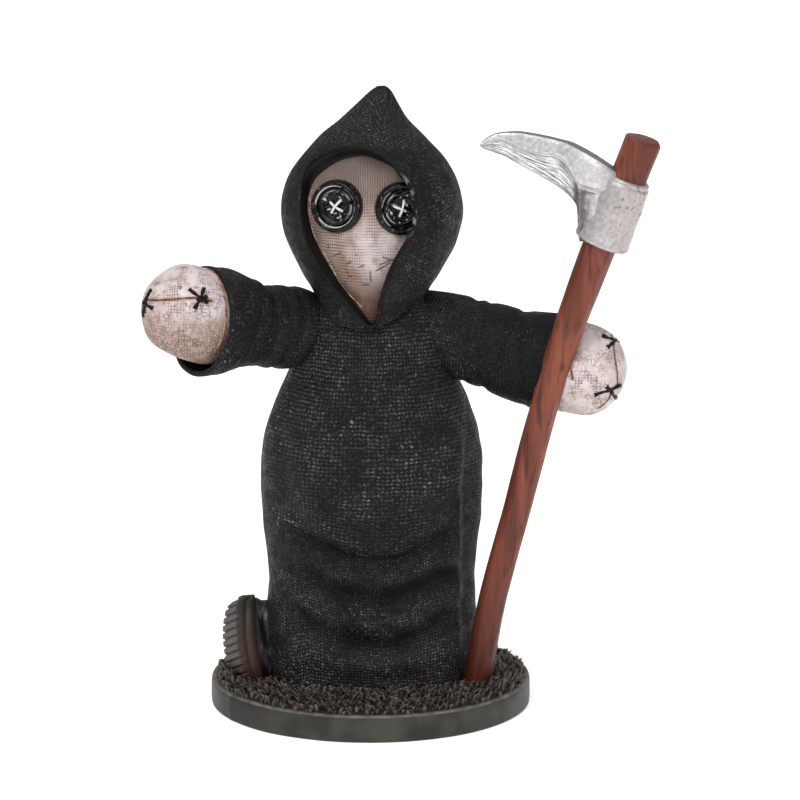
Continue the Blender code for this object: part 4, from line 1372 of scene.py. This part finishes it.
def button_paint():
    """Glossy black, with painted highlights broken along its ridges and in spots on its middle."""
    paint = Paint("button_gloss")
    out = paint.threads()[1]
    ridges = abs(out - 0.575).step(0.030, 0.008) | abs(out - 0.745).step(0.030, 0.008)
    spots = paint.noise(1150).step(0.60, 0.68) * out.step(0.56, 0.48, 0.12, 1.0)
    # Painted highlights: broken along the ridges and in spots on the middle.
    painted_lights = ridges * paint.noise(330).step(0.40, 0.54) | spots
    paint.colour = paint.mix(painted_lights, (0.0018, 0.0018, 0.0022), (0.520, 0.525, 0.560))
    paint.bump(paint.noise(950), 0.00022, 0.9)
    return paint.done(paint.noise(1200, 4.0).step(0.35, 0.72, 0.06, 0.26), 0.24)


def thread_paint(name, light, dark, roughness, gloss):
    """A twisted strand."""
    paint = Paint(name)
    u, v = paint.threads()
    twist = (v * 14.0 + u * 6.283).math("SINE")
    paint.colour = paint.mix(twist.step(-1.0, 0.4), dark, light)
    paint.bump(twist, 0.00004, 0.6)
    return paint.done(roughness, gloss)


def rubber_paint():
    """Brown sole: rib tops worn, gaps dark, the side smooth and darker."""
    paint = Paint("boot_rubber")
    worn = paint.noise(700, 4.0)
    top = paint.mix(worn.step(0.35, 0.7), (0.024, 0.016, 0.014), (0.060, 0.041, 0.036))
    side = paint.mix(paint.part(2).step(0.0190, 0.0090), (0.020, 0.017, 0.012), (0.050, 0.022, 0.017))
    paint.colour = paint.mix(paint.mark(), side, top)
    paint.bump(worn, 0.00010, 0.6)
    return paint.done(0.55, 0.3)


def leather_paint():
    """The dark upper with streaks."""
    paint = Paint("boot_leather")
    streak = paint.noise(500, 4.0, paint.stretched(2.2, 1.0, 0.5))
    paint.colour = paint.mix(streak.step(0.50, 0.72), (0.006, 0.006, 0.007), (0.075, 0.078, 0.090))
    paint.bump(streak, 0.00025, 0.8)
    return paint.done(0.45, 0.3)


def base_paint():
    """The disc's side: green-grey paint, painted shade toward the left, its top edge rubbed pale."""
    paint = Paint("base_paint")
    rim = paint.part(2).step(BASE_HEIGHT - 0.00042, BASE_HEIGHT - 0.00022)
    rubbed = rim * paint.noise(500, 4.0).step(0.35, 0.65, 0.35, 1.0)
    paint.colour = paint.mix(paint.noise(140, 4.0).step(0.35, 0.65), (0.026, 0.025, 0.022), (0.052, 0.052, 0.042))
    # Painted shade: darker toward the left.
    paint.over(paint.part(0).step(-0.0110, -0.0260, 0.0, 0.90), (0.012, 0.012, 0.011))
    paint.over(rubbed * 0.75, (0.17, 0.16, 0.145))
    paint.bump(paint.noise(420, 5.0), 0.00015, 0.5)
    return paint.done(0.45, 0.16)


def grass_paint():
    """Each blade its own brown, darker at its foot, pale at its tip, a few of them reddish."""
    paint = Paint("turf_brown")
    tone, up = paint.threads()
    paint.colour = paint.mix(tone, (0.022, 0.018, 0.015), (0.100, 0.077, 0.061))
    tip = paint.mix(tone.step(0.965, 0.975), (0.170, 0.142, 0.120), (0.240, 0.070, 0.052))
    paint.over(up.step(0.35, 1.0) * tone.step(0.35, 0.9, 0.20, 0.9), tip)
    return paint.done(0.45, 0.35)


def wood_paint():
    """Red-brown stained wood with grain down its length, darker toward its foot."""
    paint = Paint("scythe_wood")
    lines = paint.noise(1100, 4.0, paint.stretched(1.0, 1.0, 0.055))
    broad = paint.noise(260, 3.0, paint.stretched(1.0, 1.0, 0.10))
    paint.colour = paint.mix(broad.step(0.35, 0.65), (0.112, 0.026, 0.014), (0.228, 0.059, 0.031))
    paint.over(lines.step(0.50, 0.30) * 0.80, (0.040, 0.013, 0.009))
    paint.over(paint.part(2).step(BASE_HEIGHT + 40 * UNIT, BASE_HEIGHT) * 0.75, (0.045, 0.007, 0.003))
    paint.bump(lines, 0.00016, 0.8)
    return paint.done(lines.step(0.3, 0.7, 0.55, 0.40), 0.3)


def silver_start(name):
    """Silver paint with its fine flake, which is also given back."""
    paint = Paint(name)
    flake = paint.noise(1500)
    paint.colour = paint.mix(flake.step(0.3, 0.7), (0.335, 0.315, 0.325), (0.485, 0.460, 0.475))
    return paint, flake


def silver_done(paint, flake, height):
    paint.bump(height, 0.00010, 0.8)
    return paint.done(flake.step(0.3, 0.7, 0.45, 0.30), metallic=0.45)


def socket_paint():
    """The socket's silver, with painted shade as a warmer, darker tint toward its right, specked with brown
    there.
    """
    paint, flake = silver_start("scythe_silver")
    right = paint.part(0).step(0.0395, 0.0440)
    # Painted shade: a warmer, darker tint on the right, the side turned from the light.
    paint.over(right * 0.35, (0.42, 0.33, 0.28))
    paint.over(paint.noise(1300).step(0.60, 0.68) * right, (0.120, 0.070, 0.048))
    return silver_done(paint, flake, flake)


def blade_paint():
    """The blade's silver: brush streaks that follow its edge, brown creases, and painted shade on its top facet
    and heel.
    """
    paint, flake = silver_start("blade_silver")
    shade = flake.step(0.3, 0.7)
    across = paint.part(0)
    mark = paint.mark()
    far = across.step(0.0425, 0.0340)
    paint.over(far, paint.mix(shade, (0.72, 0.71, 0.72), (0.93, 0.92, 0.95)))
    paint.over(mark.step(0.56, 0.50) * far, paint.mix(shade, (0.38, 0.365, 0.37), (0.63, 0.615, 0.635)))
    u, v = paint.threads()
    streak = paint.noise(1.0, 4.0, paint.node("ShaderNodeCombineXYZ", {0: u * 110.0, 1: v * 7.0}))
    ground = mark.step(0.55, 0.95)
    paint.over(streak.step(0.60, 0.38) * ground * 0.95, (0.13, 0.12, 0.125))
    crease = abs(mark - 0.63).step(0.13, 0.03) | abs(mark - 0.87).step(0.11, 0.03)
    paint.over(crease * across.step(0.0394, 0.0376) * 0.85, (0.105, 0.080, 0.062))
    # The narrow top facet darker: partly dark paint, partly painted shade.
    paint.over(mark.step(0.35, 0.05) * 0.85, (0.115, 0.108, 0.112))
    # Painted shade: a dark patch on the heel, near the socket.
    heel = across.step(0.0345, 0.0354) * across.step(0.0385, 0.0365) * paint.part(2).step(0.0958, 0.0940)
    paint.over(heel * paint.noise(1200).step(0.35, 0.60, 0.55, 1.0) * 0.90, (0.085, 0.078, 0.078))
    return silver_done(paint, flake, flake + streak * (ground * 2.5))


# Studio

def make_camera():
    """A long lens from the photograph's place."""
    data = bpy.data.cameras.new("photo_camera")
    data.lens = CAMERA_LENS
    data.sensor_width = 36
    camera = add_object("photo_camera", data)
    camera.location = CAMERA_PLACE
    camera.rotation_euler = (CAMERA_TILT, 0, 0)
    bpy.context.scene.camera = camera


def make_light(name, where, size, power):
    """A soft area light aimed at the middle of the figurine."""
    data = bpy.data.lights.new(name, "AREA")
    data.size = size
    data.energy = power
    lamp = add_object(name, data)
    lamp.location = where
    lamp.rotation_euler = (Vector(LAMPS_AIM) - Vector(where)).to_track_quat("-Z", "Y").to_euler()


def make_sun(where, angle, strength):
    """A wide soft sun shining from a place towards the figurine."""
    data = bpy.data.lights.new("sun", "SUN")
    data.angle = angle
    data.energy = strength
    add_object("sun", data).rotation_euler = (-Vector(where)).to_track_quat("-Z", "Y").to_euler()


def make_sky():
    """White all round, brighter overhead and darker towards the floor."""
    world = bpy.data.worlds.new("studio_world")
    world.use_nodes = True
    tree = world.node_tree
    back = tree.nodes["Background"]
    sight = tree.nodes.new("ShaderNodeTexCoord")
    split = tree.nodes.new("ShaderNodeSeparateXYZ")
    tree.links.new(sight.outputs["Generated"], split.inputs[0])
    rise = tree.nodes.new("ShaderNodeMapRange")
    for number, value in enumerate((-0.3, 1.0, SKY_LOW, SKY_HIGH), 1):
        rise.inputs[number].default_value = value
    tree.links.new(split.outputs[2], rise.inputs[0])
    tree.links.new(rise.outputs[0], back.inputs[1])
    back.inputs[0].default_value = (1, 1, 1, 1)
    bpy.context.scene.world = world


def make_studio():
    """A white floor under soft light, a little stronger from the left."""
    paint = Paint("studio_white")
    paint.colour = paint.mix(paint.noise(3.0, 2.0), (0.93, 0.93, 0.93), (0.95, 0.95, 0.95))
    paint.put(paint.shader.inputs["Emission Color"], (1, 1, 1))
    paint.put(paint.shader.inputs["Emission Strength"], FLOOR_GLOW)
    mesh = bpy.data.meshes.new("studio_floor")
    far = 6.0
    mesh.from_pydata([(-far, -far, 0), (far, -far, 0), (far, far, 0), (-far, far, 0)], [], [(0, 1, 2, 3)])
    mesh.materials.append(paint.done(1.0, 0.0))
    floor = add_object("studio_floor", mesh)
    make_sky()
    make_sun((-0.12, -0.75, 1.0), math.radians(40), SUN_STRENGTH)
    make_light("key_left", (-0.28, -0.55, 0.52), 0.10, KEY_POWER)
    make_light("fill_right", (0.60, -0.35, 0.25), 0.30, FILL_POWER)
    bpy.context.scene.view_settings.view_transform = "Standard"


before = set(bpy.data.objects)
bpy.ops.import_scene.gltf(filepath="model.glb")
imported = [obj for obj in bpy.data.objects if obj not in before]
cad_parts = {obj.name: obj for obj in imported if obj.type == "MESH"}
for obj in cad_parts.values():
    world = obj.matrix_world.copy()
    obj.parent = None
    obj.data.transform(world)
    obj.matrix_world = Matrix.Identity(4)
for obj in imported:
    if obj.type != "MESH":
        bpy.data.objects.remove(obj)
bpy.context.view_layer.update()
make_camera()
make_studio()

# The sleeves' and hood's last triple is painted shade: darker toward the right on the sleeves, toward the left on
# the hood.
burlap = burlap_paint("robe_burlap", 1.5, 0.52, 0.42, 0.12, 1.4, 0.50, 0.130)
sleeve_burlap = burlap_paint("sleeve_burlap", 1.4, 0.48, 0.44, 0.20, 1.3, 0.65, 0.094, (0.0240, 0.0140, 0.30))
hood_burlap = burlap_paint("hood_burlap", 2.6, 0.50, 0.47, 0.35, 2.4, 0.50, 0.136, (-0.0125, -0.0035, 0.12))
lining = speckled_paint("lining_black", (500,), None, (0.0022, 0.0022, 0.0022), (0.0075, 0.0055, 0.0050),
                        (0.6, 0.15), (1500, 3.0, 0.0001, 0.6))
make_robe(burlap)
make_hood(hood_burlap, rim_paint(), lining)
button = button_paint()
white_thread = thread_paint("thread_white", (0.84, 0.81, 0.78), (0.56, 0.50, 0.45), 0.6, 0.4)
black_thread = thread_paint("thread_black", (0.0035, 0.0032, 0.0032), (0.0015, 0.0015, 0.0015), 0.26, 0.16)
make_face(face_paint(), cord_paint("face_edge", (0.22, 0.135, 0.095), (0.60, 0.500, 0.430)))
for index in range(2):
    make_button(index, button, white_thread)

# Wrinkles: share along the arm, slant, depth and width
LEFT_WRINKLES = [(0.15, 0.0, 0.85, 0.080), (0.58, 0.0, 0.45, 0.060), (0.84, 0.0, -0.35, 0.080),
                 (0.40, 0.05, 0.26, 0.030), (0.47, -0.02, 0.22, 0.022), (0.57, -0.04, 0.30, 0.026),
                 (0.64, 0.03, 0.22, 0.022), (0.76, 0.06, 0.16, 0.030)]
RIGHT_WRINKLES = [(0.34, -0.06, 0.28, 0.028), (0.44, 0.02, 0.22, 0.022), (0.54, 0.05, 0.30, 0.028),
                  (0.66, -0.05, 0.26, 0.026), (0.80, 0.05, 0.20, 0.030)]
make_sleeve("left_sleeve", LEFT_SLEEVE, LEFT_WRINKLES, sleeve_burlap)
make_sleeve("right_sleeve", RIGHT_SLEEVE, RIGHT_WRINKLES, sleeve_burlap)
cuff_line = cord_paint("cuff_line", (0.17, 0.075, 0.042), (0.42, 0.255, 0.175))
left_hand = make_hand("left_hand", *LEFT_HAND, LEFT_SEAMS, LEFT_STITCHES, hand_paint((0.0715, 0.0620)),
                      black_thread)
make_hand("right_hand", *RIGHT_HAND, RIGHT_SEAMS, RIGHT_STITCHES, hand_paint((0.0635, 0.0565)), black_thread)
make_cuff_line(left_hand, LEFT_CUFF_LINE, cuff_line)
make_boot(rubber_paint(), leather_paint())
soil = speckled_paint("turf_soil", (900, 4.0), None, (0.006, 0.005, 0.004), (0.030, 0.022, 0.018),
                      (0.8, 0.2), (1200, 4.0, 0.0003, 0.8))
make_base(base_paint(), soil, grass_paint())
make_scythe(wood_paint(), socket_paint(), blade_paint())
